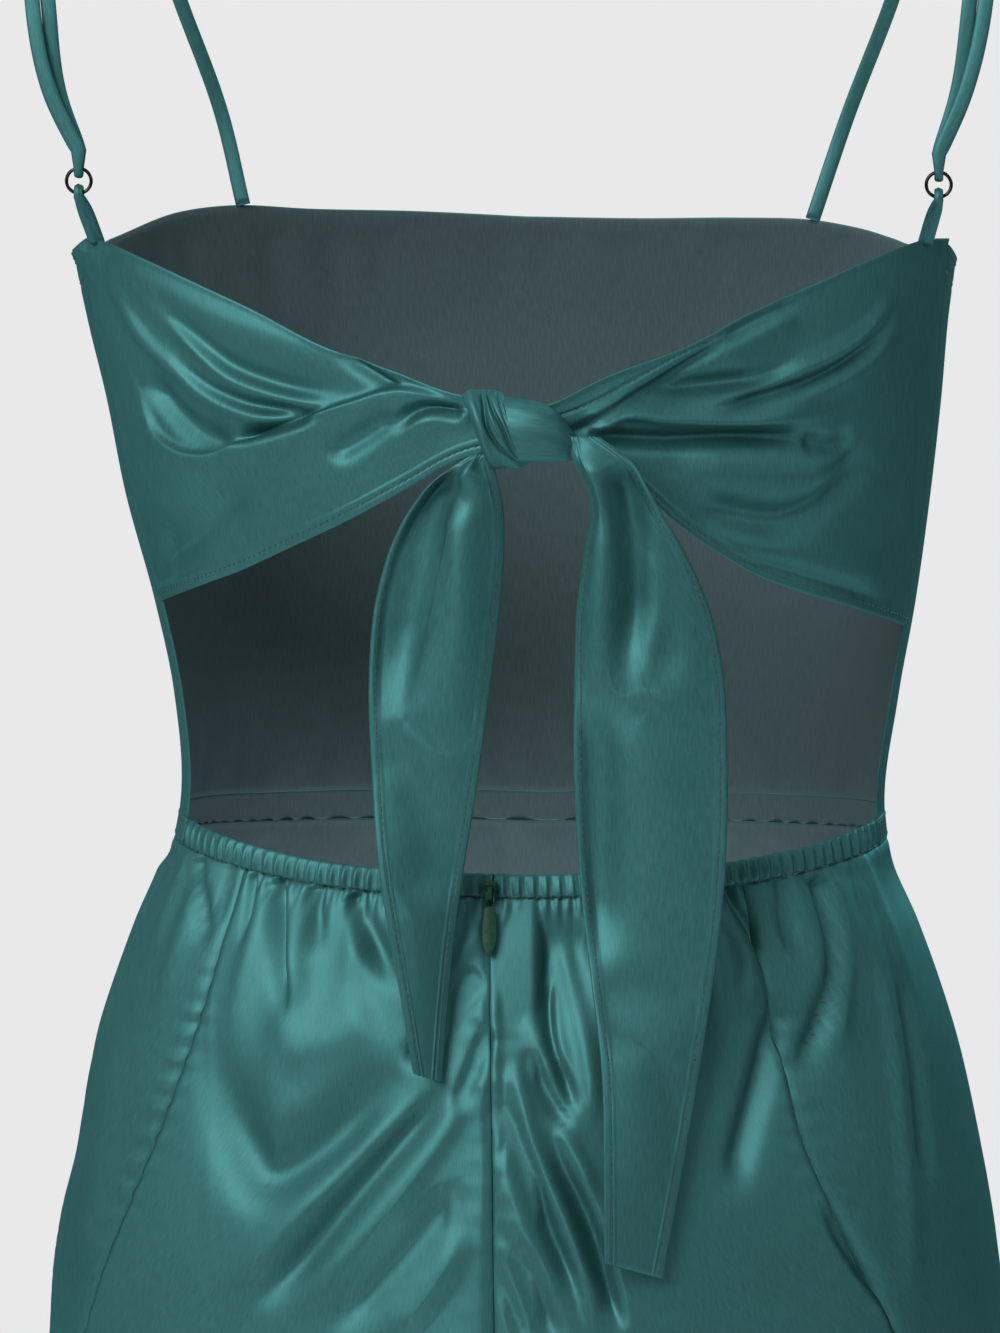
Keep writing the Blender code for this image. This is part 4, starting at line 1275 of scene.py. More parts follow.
@dataclass
class BackTie:
    """The knot at the centre back and the two tie ends that hang from it."""

    finishes: Finishes
    box: SewingBox
    bundle: tuple[BundleRow, ...] = (
        BundleRow(-22.0, 108.5, -227.2, 2.2, 2.4),
        BundleRow(-19.0, 110.5, -226.3, 5.0, 4.6),
        BundleRow(-15.0, 112.0, -223.8, 7.8, 6.8),
        BundleRow(-10.0, 113.0, -222.2, 9.4, 8.2),
        BundleRow(-5.0, 113.4, -221.6, 10.3, 8.7),
        BundleRow(0.0, 113.2, -221.3, 10.7, 8.7),
        BundleRow(8.0, 111.5, -221.0, 10.8, 8.0),
        BundleRow(17.0, 108.0, -220.5, 9.0, 4.6),
    )
    band_x: float = 6.0
    band_lean: float = 4.1
    band_half_width: float = 6.6
    band_reach_y: float = 9.2
    band_reach_z: float = 10.9
    band_thickness: float = 2.1
    tail_columns: int = 64
    tail_rows: int = 190
    tails: dict[Side, tuple[TailRow, ...]] = field(
        default_factory=lambda: {
            Side.LEFT: (
                TailRow(-229.5, 8.0, 14.0, 112.0, 0.5, 0.0),
                TailRow(-237.0, 5.8, 25.0, 112.5, 2.0, 0.0),
                TailRow(-247.0, 3.8, 33.8, 113.5, 6.5, 0.0),
                TailRow(-257.0, 3.4, 39.6, 113.0, 8.0, -0.05),
                TailRow(-274.0, 4.3, 45.3, 112.2, 8.5, -0.08),
                TailRow(-307.0, 8.4, 48.6, 110.0, 6.5, -0.05),
                TailRow(-339.0, 12.8, 47.4, 107.0, 3.0, 0.0),
                TailRow(-368.0, 17.4, 45.0, 106.5, 2.6, 0.3),
                TailRow(-388.0, 20.2, 41.8, 106.5, 2.0, 0.45),
                TailRow(-412.0, 22.5, 37.6, 107.0, 1.4, 0.5),
                TailRow(-437.5, 24.3, 33.5, 108.0, 0.8, 0.5),
            ),
            Side.RIGHT: (
                TailRow(-223.5, -17.8, -28.5, 114.5, 1.0, 0.0),
                TailRow(-231.0, -19.4, -38.5, 116.0, 2.0, 0.0),
                TailRow(-239.0, -23.4, -43.5, 116.8, 3.0, -0.05),
                TailRow(-247.0, -25.2, -48.0, 116.5, 4.0, -0.08),
                TailRow(-260.0, -23.4, -55.5, 116.8, 8.0, 0.06),
                TailRow(-279.0, -20.8, -64.0, 114.8, 8.5, 0.12),
                TailRow(-300.0, -20.0, -68.8, 112.6, 7.5, 0.1),
                TailRow(-330.0, -19.8, -70.4, 110.5, 5.0, 0.02),
                TailRow(-367.0, -21.2, -69.7, 108.5, 3.4, -0.08),
                TailRow(-396.0, -24.4, -66.7, 108.5, 2.8, 0.05),
                TailRow(-436.0, -29.6, -60.9, 112.5, 1.8, 0.32),
                TailRow(-475.0, -30.8, -54.2, 117.5, 1.0, 0.45),
                TailRow(-500.0, -31.0, -49.6, 119.5, 0.6, 0.45),
            ),
        }
    )
    tip_slant: dict[Side, float] = field(default_factory=lambda: {Side.LEFT: -3.5, Side.RIGHT: 6.5})

    left_creases: tuple[Crease, ...] = (
        Crease(((15, -234), (25, -247), (30.5, -266), (35.5, -290), (42, -330)), -5.6, 9.0, 6.5,
               start=0.12, end=0.45),
        Crease(((10, -231), (17, -244), (18, -262), (17, -284), (20.5, -312), (26, -340)), 3.0, 5.0, 6.0,
               start=0.1, end=0.5),
        Crease(((12, -232), (20.5, -246), (21.5, -258), (20, -270)), 1.6, 1.6, 2.4, start=0.12, end=0.5),
        Crease(((18.5, -240), (16.5, -235), (11.5, -230)), 1.6, 1.2, 1.2),
        Crease(((46, -343), (35, -337.5), (23, -329)), 0.5, 6, 8),
        Crease(((42, -316), (31, -350), (29, -385)), -2.0, 7, 8),
        Crease(((36, -345), (33, -385), (31, -425)), 0.8, 5, 5),
    )
    right_creases: tuple[Crease, ...] = (
        Crease(((-21, -226), (-27.5, -244.5), (-28, -270), (-28, -299), (-33, -330)), 4.6, 5.0, 5.5,
               start=0.1, end=0.5),
        Crease(((-34.5, -231), (-38.5, -252), (-40, -273.5), (-38, -292), (-34, -312)), -5.4, 5.0, 5.5,
               start=0.12, end=0.45),
        Crease(((-45, -246), (-50, -268), (-50, -310)), -1.6, 5.0, 6.0),
        Crease(((-27.5, -306), (-28.5, -340), (-28.5, -372), (-28, -402)), -2.6, 5.5, 6.0),
        Crease(((-45, -300), (-47, -348), (-48, -392)), 1.4, 11.0, 12.0, start=0.4, end=0.4),
        Crease(((-24, -414), (-43, -408), (-64, -406)), -0.8, 7.0, 10.0),
        Crease(((-40, -420), (-42, -450), (-43, -480)), 0.8, 6.0, 6.0),
    )

    def bundle_piece(self) -> Piece:
        """The cloth that runs through the knot, with shallow pleats drawn to its right end."""
        stations = np.linspace(-22.0, 11.0, 60)
        turn = np.linspace(0.0, 2.0 * math.pi, 56, endpoint=False)
        rows = []
        for x in stations:
            y, z, height, depth = (
                float(column_at(self.bundle, "x", name, x)) for name in ("y", "z", "height", "depth")
            )
            cos, sin = np.cos(turn), np.sin(turn)
            round_it = (np.abs(cos) ** 2.3 + np.abs(sin) ** 2.3) ** (-1 / 2.3)
            level = z + height * sin * round_it
            toward = (x + 20.0) / 24.0
            pleats = 0.45 * bump(level - (-214.0 - 9.0 * (1.0 - toward)), 1.1)
            pleats = pleats + 0.4 * bump(level - (-227.5 + 0.5 * toward), 1.0)
            grown = np.clip(cos, 0.0, 1.0) * (1.0 - rise(x, 0.0, 6.0))
            deep = (depth + (0.5 - pleats) * grown) * cos * round_it
            leaning = x + self.band_lean * np.sin(turn) * rise(x, 0.0, 9.0)
            rows.append(np.stack([leaning, y + deep, level], axis=-1))
        thing = tube("knot_bundle", np.array(rows), (self.finishes.satin,))
        return satin_piece(thing, "knot_core")

    def band_piece(self) -> Piece:
        """The band that is wound once round the bundle, pleated towards its lower right corner."""
        across = np.linspace(1.0, -1.0, 56)
        back = np.linspace(-0.9, 0.9, 10)
        sections = []
        for turn in np.linspace(0.0, 2.0 * math.pi, 132, endpoint=False):
            down = 0.5 - 0.5 * math.sin(turn)
            front = max(math.cos(turn), 0.0) ** 0.5
            shape = self.band_thickness * (1.0 - np.abs(across) ** 5.0)
            roll = smooth([0.0, 0.15, 0.45, 0.72, 0.95, 1.0], [0.05, 0.1, 0.3, 0.02, -0.72, -0.8], down)
            inner = smooth([0.0, 0.22, 0.45, 0.72, 1.0], [-0.2, -0.28, -0.45, -0.55, -0.95], down)
            outer = smooth([0.0, 0.3, 0.7, 1.0], [-0.66, -0.74, -0.86, -1.0], down)
            middle = smooth([0.0, 0.3, 0.6, 1.0], [-0.04, -0.06, -0.24, -0.85], down)
            shape = shape + front * (
                -2.0 * bump(across - roll, 0.12)
                - 1.5 * bump(across - inner, 0.09)
                - 1.2 * bump(across - outer, 0.07)
                + 0.7 * bump(across - middle, 0.10)
                + 1.3 * bump(across - 0.72, 0.26)
            )
            outward = np.array([0.0, math.cos(turn), math.sin(turn)])
            middle_x = self.band_x + self.band_lean * math.sin(turn)
            core_y = float(column_at(self.bundle, "x", "y", self.band_x))
            core_z = float(column_at(self.bundle, "x", "z", self.band_x))
            centre = np.array([middle_x, core_y, core_z])
            reach = np.array([0.0, self.band_reach_y, self.band_reach_z])
            base = centre + outward * reach
            half = self.band_half_width * (1.0 - 0.04 * math.cos(2.0 * turn))
            over = base + np.outer(across * half, [1.0, 0, 0])
            over = over + np.outer(np.maximum(shape, 0.2), outward)
            under = base + np.outer(back * half, [1.0, 0, 0]) - 0.2 * outward
            sections.append(np.concatenate([over, under]))
        thing = tube("knot_band", np.array(sections), (self.finishes.satin,), closed=True)
        return satin_piece(thing, "knot_wrap")

    def tail(self, side: Side) -> Piece:
        """A tie end: a hemmed strip that opens out under the knot, with a slanted tip."""
        table = self.tails[side][::-1]
        share = np.linspace(0.0, 1.0, self.tail_columns)[None, :]
        top, tip = self.tails[side][0].z, self.tails[side][-1].z
        z = top + (tip - top) * np.linspace(0.0, 1.0, self.tail_rows)[:, None]
        inner = column_at(table, "z", "inner", z)
        outer = column_at(table, "z", "outer", z)
        x = inner + (outer - inner) * share
        y = column_at(table, "z", "y", z) - column_at(table, "z", "curl", z) * (2.0 * share - 1.0) ** 2
        y = y + column_at(table, "z", "slope", z) * (x - (inner + outer) / 2)
        z = z - self.tip_slant[side] * (share - 0.5) * rise(-z, -top, -tip)
        creases = self.left_creases if side is Side.LEFT else self.right_creases
        lift = crease(creases, x, z, lambda place: place)
        edge = np.minimum(np.abs(x - inner), np.abs(x - outer))
        y = y + lift.out * rise(edge, 0.0, 4.0) + 0.5 * (1.0 - rise(edge, 3.0, 3.6))
        y = y - 0.4 * bump(edge - 2.4, 0.45)
        grid = np.stack([x + lift.along, y + 0.6, z + lift.up], axis=-1)
        name = f"tie_end_{side.value}"
        for where in ("first", "last"):
            self.box.mark(name, line_on(grid[8:-4], 2.4, where), BEHIND)
        self.box.mark(name, line_on(grid, 2.4, "bottom")[6:-6], BEHIND)
        thing = shell(name, grid, backwards, self.finishes.cloth, 0.6)
        return satin_piece(thing, f"tie_tail_{side.value}")

    def pieces(self) -> list[Piece]:
        """Makes the knot and both tie ends."""
        return [self.bundle_piece(), self.band_piece(), self.tail(Side.LEFT), self.tail(Side.RIGHT)]


# ---------------------------------------------------------------------------- waist


@dataclass
class WaistBand:
    """The gathered elastic casing of the back and the flat band of the front."""

    finishes: Finishes
    box: SewingBox
    level: float = -368.0  # where angles are measured as lengths
    rib_pitch: float = 4.5
    rib_height: float = 1.5
    centre: float = 3.9
    columns: int = 420
    rows: int = 22

    def casing(self, side: Side) -> Piece:
        """One half of the casing, from the front's side edge to the zip."""
        start = SIDE_SEAM[side] - side.sign * 0.1
        end = self.centre + side.sign * 0.15
        angle = np.linspace(start, end, self.columns)
        travel = FORM.along(angle, self.level)
        seed = 1.3 if side is Side.LEFT else 4.1
        phase = 2.0 * math.pi * travel / self.rib_pitch + 1.5 * wander(travel, seed)
        crest = 0.5 + 0.5 * np.cos(phase)
        size = 0.75 + 0.35 * wander(travel, seed + 2.0)
        down = np.linspace(0.0, 1.0, self.rows)[:, None]
        top = FORM.waist_top(angle) + 0.35 * crest * size
        bottom = FORM.waist_bottom(angle) + GAP - 0.2 * crest
        z = top + (bottom - top) * down
        swell = np.sin(math.pi * np.clip(down, 0.0, 1.0)) ** 0.45
        slant = 0.8 * np.sin(phase + 2.2 * (down - 0.5) + 1.6 * wander(travel, seed + 5.0))
        out = 0.6 + swell * (0.7 + self.rib_height * size * crest**1.5) + 0.18 * swell * slant
        fine = 0.12 * np.sin(3.0 * phase + 4.0 * down) * swell
        grid = FORM.point(np.broadcast_to(angle, z.shape), z, out + fine)
        name = f"casing_{side.value}"
        seam = FORM.point(angle, FORM.waist_bottom(angle) + 0.5, 0.9 + 0.4 * crest)
        self.box.mark("waist", seam, unit(from_axis(seam)))
        thing = shell(name, grid, from_axis, self.finishes.cloth, 0.45)
        return satin_piece(thing, f"waist_casing_back_{side.value}")

    def front_band(self) -> Piece:
        """The flat band across the front, topstitched along both edges."""
        angle = np.linspace(SIDE_SEAM[Side.LEFT] + 0.1, 359.9 + SIDE_SEAM[Side.RIGHT], 150)
        top = FORM.waist_top(angle)
        bottom = FORM.waist_bottom(angle) + GAP
        down = np.linspace(0.0, 1.0, 14)
        z = top + (bottom - top) * down[:, None]
        swell = np.sin(math.pi * down) ** 0.5
        travel = FORM.along(angle, self.level)
        out = WALL + 0.25 * swell[:, None] + 0.12 * wander(travel, 0.7)
        grid = FORM.point(np.broadcast_to(angle, z.shape), z, out)
        for edge in ("top", "bottom"):
            line = line_on(grid, 1.2, edge)
            self.box.mark("waist", line, unit(from_axis(line)))
        thing = shell("front_band", grid, from_axis, self.finishes.cloth, 0.8)
        return satin_piece(thing, "waistband_front")

    def pieces(self) -> list[Piece]:
        """Makes the whole waist."""
        return [self.casing(Side.LEFT), self.casing(Side.RIGHT), self.front_band()]


# ---------------------------------------------------------------------------- skirt


@dataclass(frozen=True)
class SeamRow:
    """The skirt's three long seams, as angles on the form at a height."""

    z: float
    left: float
    centre: float
    right: float


@dataclass(frozen=True)
class Gather:
    """A short fold that the casing sends down into the skirt."""

    angle: float
    height: float
    width: float
    length: float


@dataclass(frozen=True)
class Flute:
    """A long soft fold that grows towards the hem."""

    angle: float
    height: float
    width: float


@dataclass
class Skirt:
    """The long skirt: a wide front that comes round to the back, and two back panels."""

    finishes: Finishes
    box: SewingBox
    crease_level: float = -440.0
    flute_start: float = -540.0
    flute_share: float = 0.6
    pucker_reach: float = 6.0
    tape_reach: float = 11.0  # the cloth stays clear of the zip tape this far from the seam
    seam_gap_deg: float = 0.08  # left free on each side of a long seam
    degree_mm: float = 2.4
    rib_pitch: float = 4.9  # of the gathers that the elastic draws up
    hem_stitch: float = 11.0
    fold_top: float = -374.0  # where the hidden folds start under the band
    seam_top: float = -376.0  # where the first guess at a panel's width is read
    wrap_deg: float = 284.0  # beyond this the front panel counts its angles from the back again
    rows: int = 186
    seams: tuple[SeamRow, ...] = (
        SeamRow(-1400.0, 78.0, 2.0, -76.0),
        SeamRow(-700.0, 74.0, 2.0, -68.0),
        SeamRow(-560.0, 68.0, 2.0, -56.0),
        SeamRow(-522.0, 63.3, 2.2, -49.0),
        SeamRow(-490.0, 57.5, 2.5, -43.0),
        SeamRow(-460.0, 52.6, 2.8, -38.5),
        SeamRow(-435.0, 50.0, 3.2, -37.3),
        SeamRow(-360.0, 50.0, 4.5, -37.0),
    )
    gathers: tuple[Gather, ...] = (
        Gather(69.0, 2.0, 2.6, 45.0),
        Gather(60.0, 2.4, 2.6, 60.0),
        Gather(42.0, 2.2, 2.4, 70.0),
        Gather(33.0, 2.6, 2.6, 90.0),
        Gather(24.0, 1.8, 2.2, 40.0),
        Gather(16.0, 1.6, 2.2, 45.0),
        Gather(-12.0, 2.0, 2.4, 60.0),
        Gather(-20.0, 1.6, 2.2, 40.0),
        Gather(-28.0, 2.2, 2.4, 70.0),
        Gather(-48.0, 2.4, 2.6, 80.0),
        Gather(-58.0, 1.8, 2.4, 45.0),
        Gather(-68.0, 2.2, 2.6, 60.0),
    )
    flutes: tuple[Flute, ...] = (
        Flute(14.0, 13.0, 9.0),
        Flute(46.0, 17.0, 10.0),
        Flute(80.0, 11.0, 9.0),
        Flute(112.0, 16.0, 11.0),
        Flute(148.0, 12.0, 10.0),
        Flute(180.0, 15.0, 10.0),
        Flute(-148.0, 15.0, 10.0),
        Flute(-116.0, 12.0, 10.0),
        Flute(-84.0, 15.0, 10.0),
        Flute(-52.0, 12.0, 9.0),
        Flute(-20.0, 16.0, 10.0),
    )
    back_creases: tuple[Crease, ...] = (
        # under the left casing
        Crease(((63.5, -373), (57.5, -388), (52, -403)), -2.0, 2.2, 2.2, start=0.05),
        Crease(((53.5, -374), (52.5, -385), (51, -398)), -1.8, 1.8, 1.8, start=0.05, end=0.5),
        Crease(((47, -376), (45.5, -388), (44, -402)), -1.6, 1.8, 1.8, start=0.05, end=0.5),
        Crease(((41, -376), (36.5, -399), (32, -424)), -2.8, 4.0, 1.7, start=0.05, end=0.35),
        Crease(((38, -376), (34, -399), (29, -424)), 1.6, 2.4, 3.0, start=0.05, end=0.5),
        Crease(((33, -378), (31.5, -390), (29.5, -403)), -2.4, 3.2, 3.2, start=0.05, end=0.6),
        Crease(((26.5, -380), (20.5, -399), (15, -412)), -2.6, 3.2, 4.4, start=0.05, end=0.5),
        # the deep swag and the diagonals that run up to the zip
        Crease(
            ((46, -424), (42, -445), (37.5, -464), (33.5, -474), (26.5, -466.5), (18.5, -447),
             (12, -431)),
            -4.6, 9.0, 7.0, start=0.4, end=0.3,
        ),
        Crease(((34, -432), (26, -427), (19, -416)), 2.0, 8.0, 7.0),
        Crease(((37, -520), (30, -496), (24.5, -477), (17.5, -456.5), (12.5, -443)), 2.6, 6.0, 4.0),
        Crease(
            ((33, -520), (26.5, -500), (21, -481), (16, -465), (11, -450), (6.5, -438)), -3.2, 3.6, 5.0
        ),
        Crease(((27, -522), (21.5, -502), (15.5, -480), (9.5, -456), (4, -428)), 2.4, 5.0, 4.0),
        Crease(((22, -526), (16.5, -508), (11, -490), (6, -470)), -2.0, 3.4, 4.6),
        Crease(((15, -528), (10, -508), (5.5, -488)), 1.6, 3.5, 3.5),
        Crease(((15, -437), (9.5, -418), (4.6, -405)), -2.4, 3.4, 3.4, end=0.1),
        Crease(((15, -423), (9.5, -403), (5, -388)), 1.8, 4.0, 3.4, end=0.1),
        Crease(((8, -450), (5.5, -437), (3.6, -422)), -1.8, 2.6, 2.6, end=0.1),
        Crease(((48.5, -412), (43.5, -456), (40.5, -495)), 0.3, 0.7, 0.9, start=0.1, end=0.1),
        Crease(((71, -430), (69.5, -477), (66.5, -525)), 1.6, 8.0, 8.0),
        # right of the zip: a pocket beside the seam, then folds that fan out to the lower right
        Crease(((3.0, -402), (2.8, -425), (2.6, -452)), 1.9, 6.0, 1.5, start=0.3, end=0.3),
        Crease(((4, -396), (-3, -399), (-11, -399), (-16, -396)), -4.6, 11.0, 15.0, start=0.3, end=0.4),
        Crease(((-6, -388), (-7.5, -405), (-9.5, -433), (-10.5, -455)), 2.0, 2.6, 3.6),
        Crease(((-5, -405), (-4.6, -419), (-5.2, -430), (-6.5, -438), (-8, -451)), -2.2, 2.4, 1.2),
        Crease(((-0.5, -414), (-3, -424), (-4.5, -431), (-6, -440)), 1.4, 2.8, 2.4),
        Crease(((-1.5, -428), (-3, -437), (-5, -447), (-7.5, -456)), -1.7, 3.0, 1.8),
        Crease(((0.5, -432), (-1.2, -447), (-2.4, -460), (-4.3, -472), (-6.2, -484), (-7.8, -497),
                (-9.2, -510), (-10, -524)), 2.3, 2.6, 2.2, start=0.1),
        Crease(((2.2, -444), (0.2, -455), (-1.8, -467), (-3.3, -479), (-4.6, -489), (-6.5, -501),
                (-8.2, -515)), -2.8, 3.0, 1.8, start=0.12),
        Crease(((-3.5, -453), (-5, -461), (-6.3, -469), (-7.7, -476), (-9.2, -485), (-10.4, -495),
                (-11.5, -508), (-12.6, -522)), -3.4, 3.2, 1.6, start=0.4, end=0.15),
        Crease(((-4.5, -450), (-6.5, -458), (-8.4, -468), (-10, -478)), 1.2, 1.6, 2.2),
        Crease(((2.4, -455), (0.6, -471), (-1.6, -488), (-4.2, -503), (-7, -519)), 1.7, 4.4, 3.0),
        Crease(((-0.5, -492), (-2.2, -502), (-3.8, -514), (-5, -526)), -1.8, 3.6, 2.0),
        Crease(((1.6, -503), (0, -514), (-1.4, -524)), -1.4, 1.6, 1.2, start=0.15),
        Crease(((2.3, -462), (1.3, -466)), -1.2, 1.6, 1.6, start=0.1, end=0.5),
        Crease(((2.3, -487), (1.2, -491)), -1.2, 1.6, 1.6, start=0.1, end=0.5),
        Crease(((2.2, -503), (1.2, -507)), -1.0, 1.4, 1.4, start=0.1, end=0.5),
        # under the right casing
        Crease(((-33, -377), (-36, -391), (-38.5, -407)), -2.0, 2.0, 2.2, start=0.05),
        Crease(((-30, -377), (-34, -402), (-32, -422)), 1.8, 3.2, 3.2, start=0.05),
        Crease(((-39, -412), (-34, -437), (-30, -459), (-27, -480)), -3.0, 4.0, 4.0),
        Crease(((-53, -376), (-50.5, -403), (-44, -427), (-37, -444)), -2.6, 3.4, 3.4, start=0.05),
        Crease(((-56, -376), (-53, -405), (-48, -422), (-42.5, -439)), 1.8, 2.4, 2.4, start=0.05),
        Crease(((-45, -376), (-43.5, -388), (-42.5, -402)), -1.8, 1.8, 1.8, start=0.05),
        Crease(
            ((-64, -376), (-61, -412), (-58.5, -444), (-56, -484), (-53, -530)),
            1.8, 2.6, 3.4, start=0.05,
        ),
        Crease(((-67, -405), (-62.5, -452), (-60, -488)), -1.6, 3.6, 3.6),
        Crease(((-40.5, -483), (-44.5, -502), (-49, -518)), -2.0, 2.4, 3.4),
    )

    def hidden_creases(self) -> tuple[Crease, ...]:
        """Soft drapes of the front and the sides, like those of the back."""
        made = []
        for step in range(12):
            angle = 86.0 + 15.4 * step + 4.0 * math.sin(1.9 * step)
            reach = 70.0 + 70.0 * abs(math.sin(2.4 * step + 1.0))
            lean = 3.5 * math.sin(1.3 * step + 0.5)
            height = 2.6 + 1.0 * math.sin(2.7 * step)
            half_way = (angle + 0.5 * lean, self.fold_top - 0.5 * reach)
            path = ((angle, self.fold_top), half_way, (angle + lean, self.fold_top - reach))
            made.append(Crease(path, height, 3.4, 4.2, start=0.06, end=0.6))
            low = -470.0 - 30.0 * abs(math.sin(step))
            sweep = ((angle + 10.0, low), (angle + 2.0, low - 38.0), (angle - 9.0, low - 90.0))
            made.append(Crease(sweep, 2.4 * math.cos(2.1 * step), 9.0, 7.0, start=0.4, end=0.5))
        for step in range(17):
            angle = 8.0 + 21.2 * step + 5.0 * math.sin(2.9 * step)
            angle = angle - 360.0 if angle > self.wrap_deg else angle
            back = abs(angle) < 80.0
            top = (-585.0 if back else -455.0) - 70.0 * abs(math.sin(1.7 * step + 0.3))
            lean = 5.0 * math.sin(1.1 * step)
            half_way = (angle + lean, 0.5 * (top + HEM_Z))
            path = ((angle, top), half_way, (angle + 1.4 * lean, HEM_Z - 60.0))
            height = (9.5 + 3.0 * math.sin(2.2 * step)) * (-0.6 if step % 3 == 1 else 1.0)
            width = 9.5 + 3.0 * math.sin(3.3 * step)
            made.append(Crease(path, height, width, 1.25 * width, start=0.35, end=0.02))
        return tuple(made)

    def seam(self, name: str, z: Any) -> np.ndarray:
        """The angle of a long seam at a height."""
        return column_at(self.seams, "z", name, z)

    def flat_place(self, angle: np.ndarray) -> np.ndarray:
        """An angle as a length on the flat cloth."""
        return FORM.along(angle, self.crease_level)

    def folds(self, angle: np.ndarray, z: np.ndarray) -> np.ndarray:
        """The gathers and flutes that the solids have too."""
        below = FORM.waist_bottom(angle) - z
        out = np.zeros(z.shape)
        for gather in self.gathers:
            fade = rise(below, -4.0, 10.0) * (1.0 - rise(below, 0.35 * gather.length, gather.length))
            out += gather.height * bump(away(angle, gather.angle), gather.width) * fade
        grown = self.flute_share * rise(-z, -self.flute_start, -HEM_Z)
        for flute in self.flutes:
            out += grown * flute.height * (bump(away(angle, flute.angle), flute.width) - 0.35)
        return out

    def pucker(self, aside: np.ndarray, z: np.ndarray, strength: np.ndarray, seed: float) -> np.ndarray:
        """The short ripples that a seam draws up beside itself, and the groove along it."""
        wave = np.sin(2.0 * math.pi * z / 8.7 + 2.0 * np.sin(z / 21.0 + seed))
        wave = wave + 0.5 * np.sin(2.0 * math.pi * z / 5.3 + seed)
        near = bump(np.maximum(aside - 0.8, 0.0), self.pucker_reach)
        return strength * wave * near * (1.0 - 0.6 * bump(aside, 1.0)) - 1.1 * bump(aside, 1.5)

    def panel(self, name: str, edges: tuple[str, str], turn: float, columns: int, node: str) -> Piece:
        """A skirt panel between two of the long seams.

        Args:
            name: the piece's name.
            edges: the names of the seams at its two sides.
            turn: what is added to the second seam's angle, 360 where the panel passes the front.
            columns: how many columns its grid has.
            node: the solid that it stands for.
        """
        share = np.linspace(0.0, 1.0, columns)[None, :]
        even = np.linspace(0.0, 1.0, self.rows)[:, None]
        down = 0.22 * even + 0.78 * even**2.4
        inset = self.seam_gap_deg * (-1.0 if turn == 0.0 else 1.0)
        first = self.seam(edges[0], self.seam_top)
        last = self.seam(edges[1], self.seam_top) + turn
        angle = first + (last - first) * share
        for _ in range(3):
            top = FORM.waist_bottom(angle)
            z = top + (HEM_Z - top) * down
            first = self.seam(edges[0], z) + inset
            last = self.seam(edges[1], z) + turn - inset
            angle = first + (last - first) * share
        travel = self.flat_place(np.where(angle > self.wrap_deg, angle - 360.0, angle))
        lift = crease(self.back_creases + self.hidden_creases(), travel, z, self.flat_place)
        below = top - z
        front = rise(np.abs(away(angle, 0.0)), 80.0, 95.0)
        out = self.folds(angle, z) + lift.out * (1.0 - front * (1.0 - rise(below, 0.0, 12.0)))
        rib = np.cos(2.0 * math.pi * travel / self.rib_pitch + 1.5 * wander(travel, 1.3))
        out = out + 0.75 * rib * bump(below, 6.5) * (0.7 + 0.5 * wander(travel, 3.0))
        out = out - 0.7 * bump(below, 1.4)
        radius = 0.8 * column_at(FORM.sections, "z", "half_width", z) * math.pi / 180.0
        for place, which in enumerate(edges):
            line = self.seam(which, z) + (turn if place else 0.0)
            aside = np.abs(angle - line) * radius
            strength = 0.35 * rise(-z, 395.0, 430.0) * (1.0 - rise(-z, 560.0, 700.0))
            if which == "left" and turn:
                strength = strength * 2.4
            out = out + self.pucker(aside, z, strength, 0.9 + place)
        beside_zip = np.abs(away(angle, self.seam("centre", z))) * radius
        clear = -0.95 - 20.0 * rise(beside_zip, self.tape_reach, 2.0 * self.tape_reach)
        out = np.maximum(out, clear - 20.0 * rise(-z, 575.0, 610.0))
        hem = z - HEM_Z
        out = out + 0.3 * (1.0 - rise(hem, 12.0, 13.0)) - 0.3 * bump(hem - self.hem_stitch, 0.8)
        grid = FORM.point(angle + lift.along / self.degree_mm, z + lift.up, out + WALL)
        line = line_on(grid, self.hem_stitch, "bottom")
        self.box.mark("skirt_hem", line, unit(from_axis(line)))
        thing = shell(name, grid, from_axis, self.finishes.cloth)
        return satin_piece(thing, node)

    def pieces(self) -> list[Piece]:
        """Makes the three panels."""
        return [
            self.panel("skirt_front_cloth", ("left", "right"), 360.0, 180, "skirt_front"),
            self.panel("skirt_left_cloth", ("left", "centre"), 0.0, 118, "skirt_back_left"),
            self.panel("skirt_right_cloth", ("centre", "right"), 0.0, 112, "skirt_back_right"),
        ]


# ---------------------------------------------------------------------------- zip


def plate(
    name: str,
    rings: Sequence[Sequence[tuple[float, float]]],
    thickness: float,
    soft: float,
    finish: bpy.types.Material,
    place: Matrix,
) -> bpy.types.Object:
    """A flat plate with holes and rounded edges.

    Args:
        name: the object's name.
        rings: its closed outlines in millimetres, the outer one first.
        thickness: the plate's thickness.
        soft: the radius of its rounded edges.
        finish: its material.
        place: where the plate's own XY plane and middle go, in metres.

    Returns:
        The object.
    """
    curve = bpy.data.curves.new(name, "CURVE")
    curve.dimensions = "2D"
    curve.fill_mode = "BOTH"
    curve.extrude = (thickness / 2 - soft) * MM
    curve.bevel_depth = soft * MM
    curve.bevel_resolution = 2
    curve.offset = -soft * MM
    for ring in rings:
        spline = curve.splines.new("POLY")
        spline.points.add(len(ring) - 1)
        for point, at in zip(spline.points, ring):
            point.co = (at[0] * MM, at[1] * MM, 0.0, 1.0)
        spline.use_cyclic_u = True
    mesh = frozen(link(f"{name}.outline", curve))
    welded = bmesh.new()
    welded.from_mesh(mesh)
    bmesh.ops.remove_doubles(welded, verts=welded.verts, dist=0.01 * MM)
    bmesh.ops.recalc_face_normals(welded, faces=welded.faces)
    welded.to_mesh(mesh)
    welded.free()
    mesh.transform(place)
    mesh.materials.clear()
    mesh.materials.append(finish)
    mesh.shade_smooth()
    mesh.set_sharp_from_angle(angle=math.radians(40.0))
    return link(name, mesh)


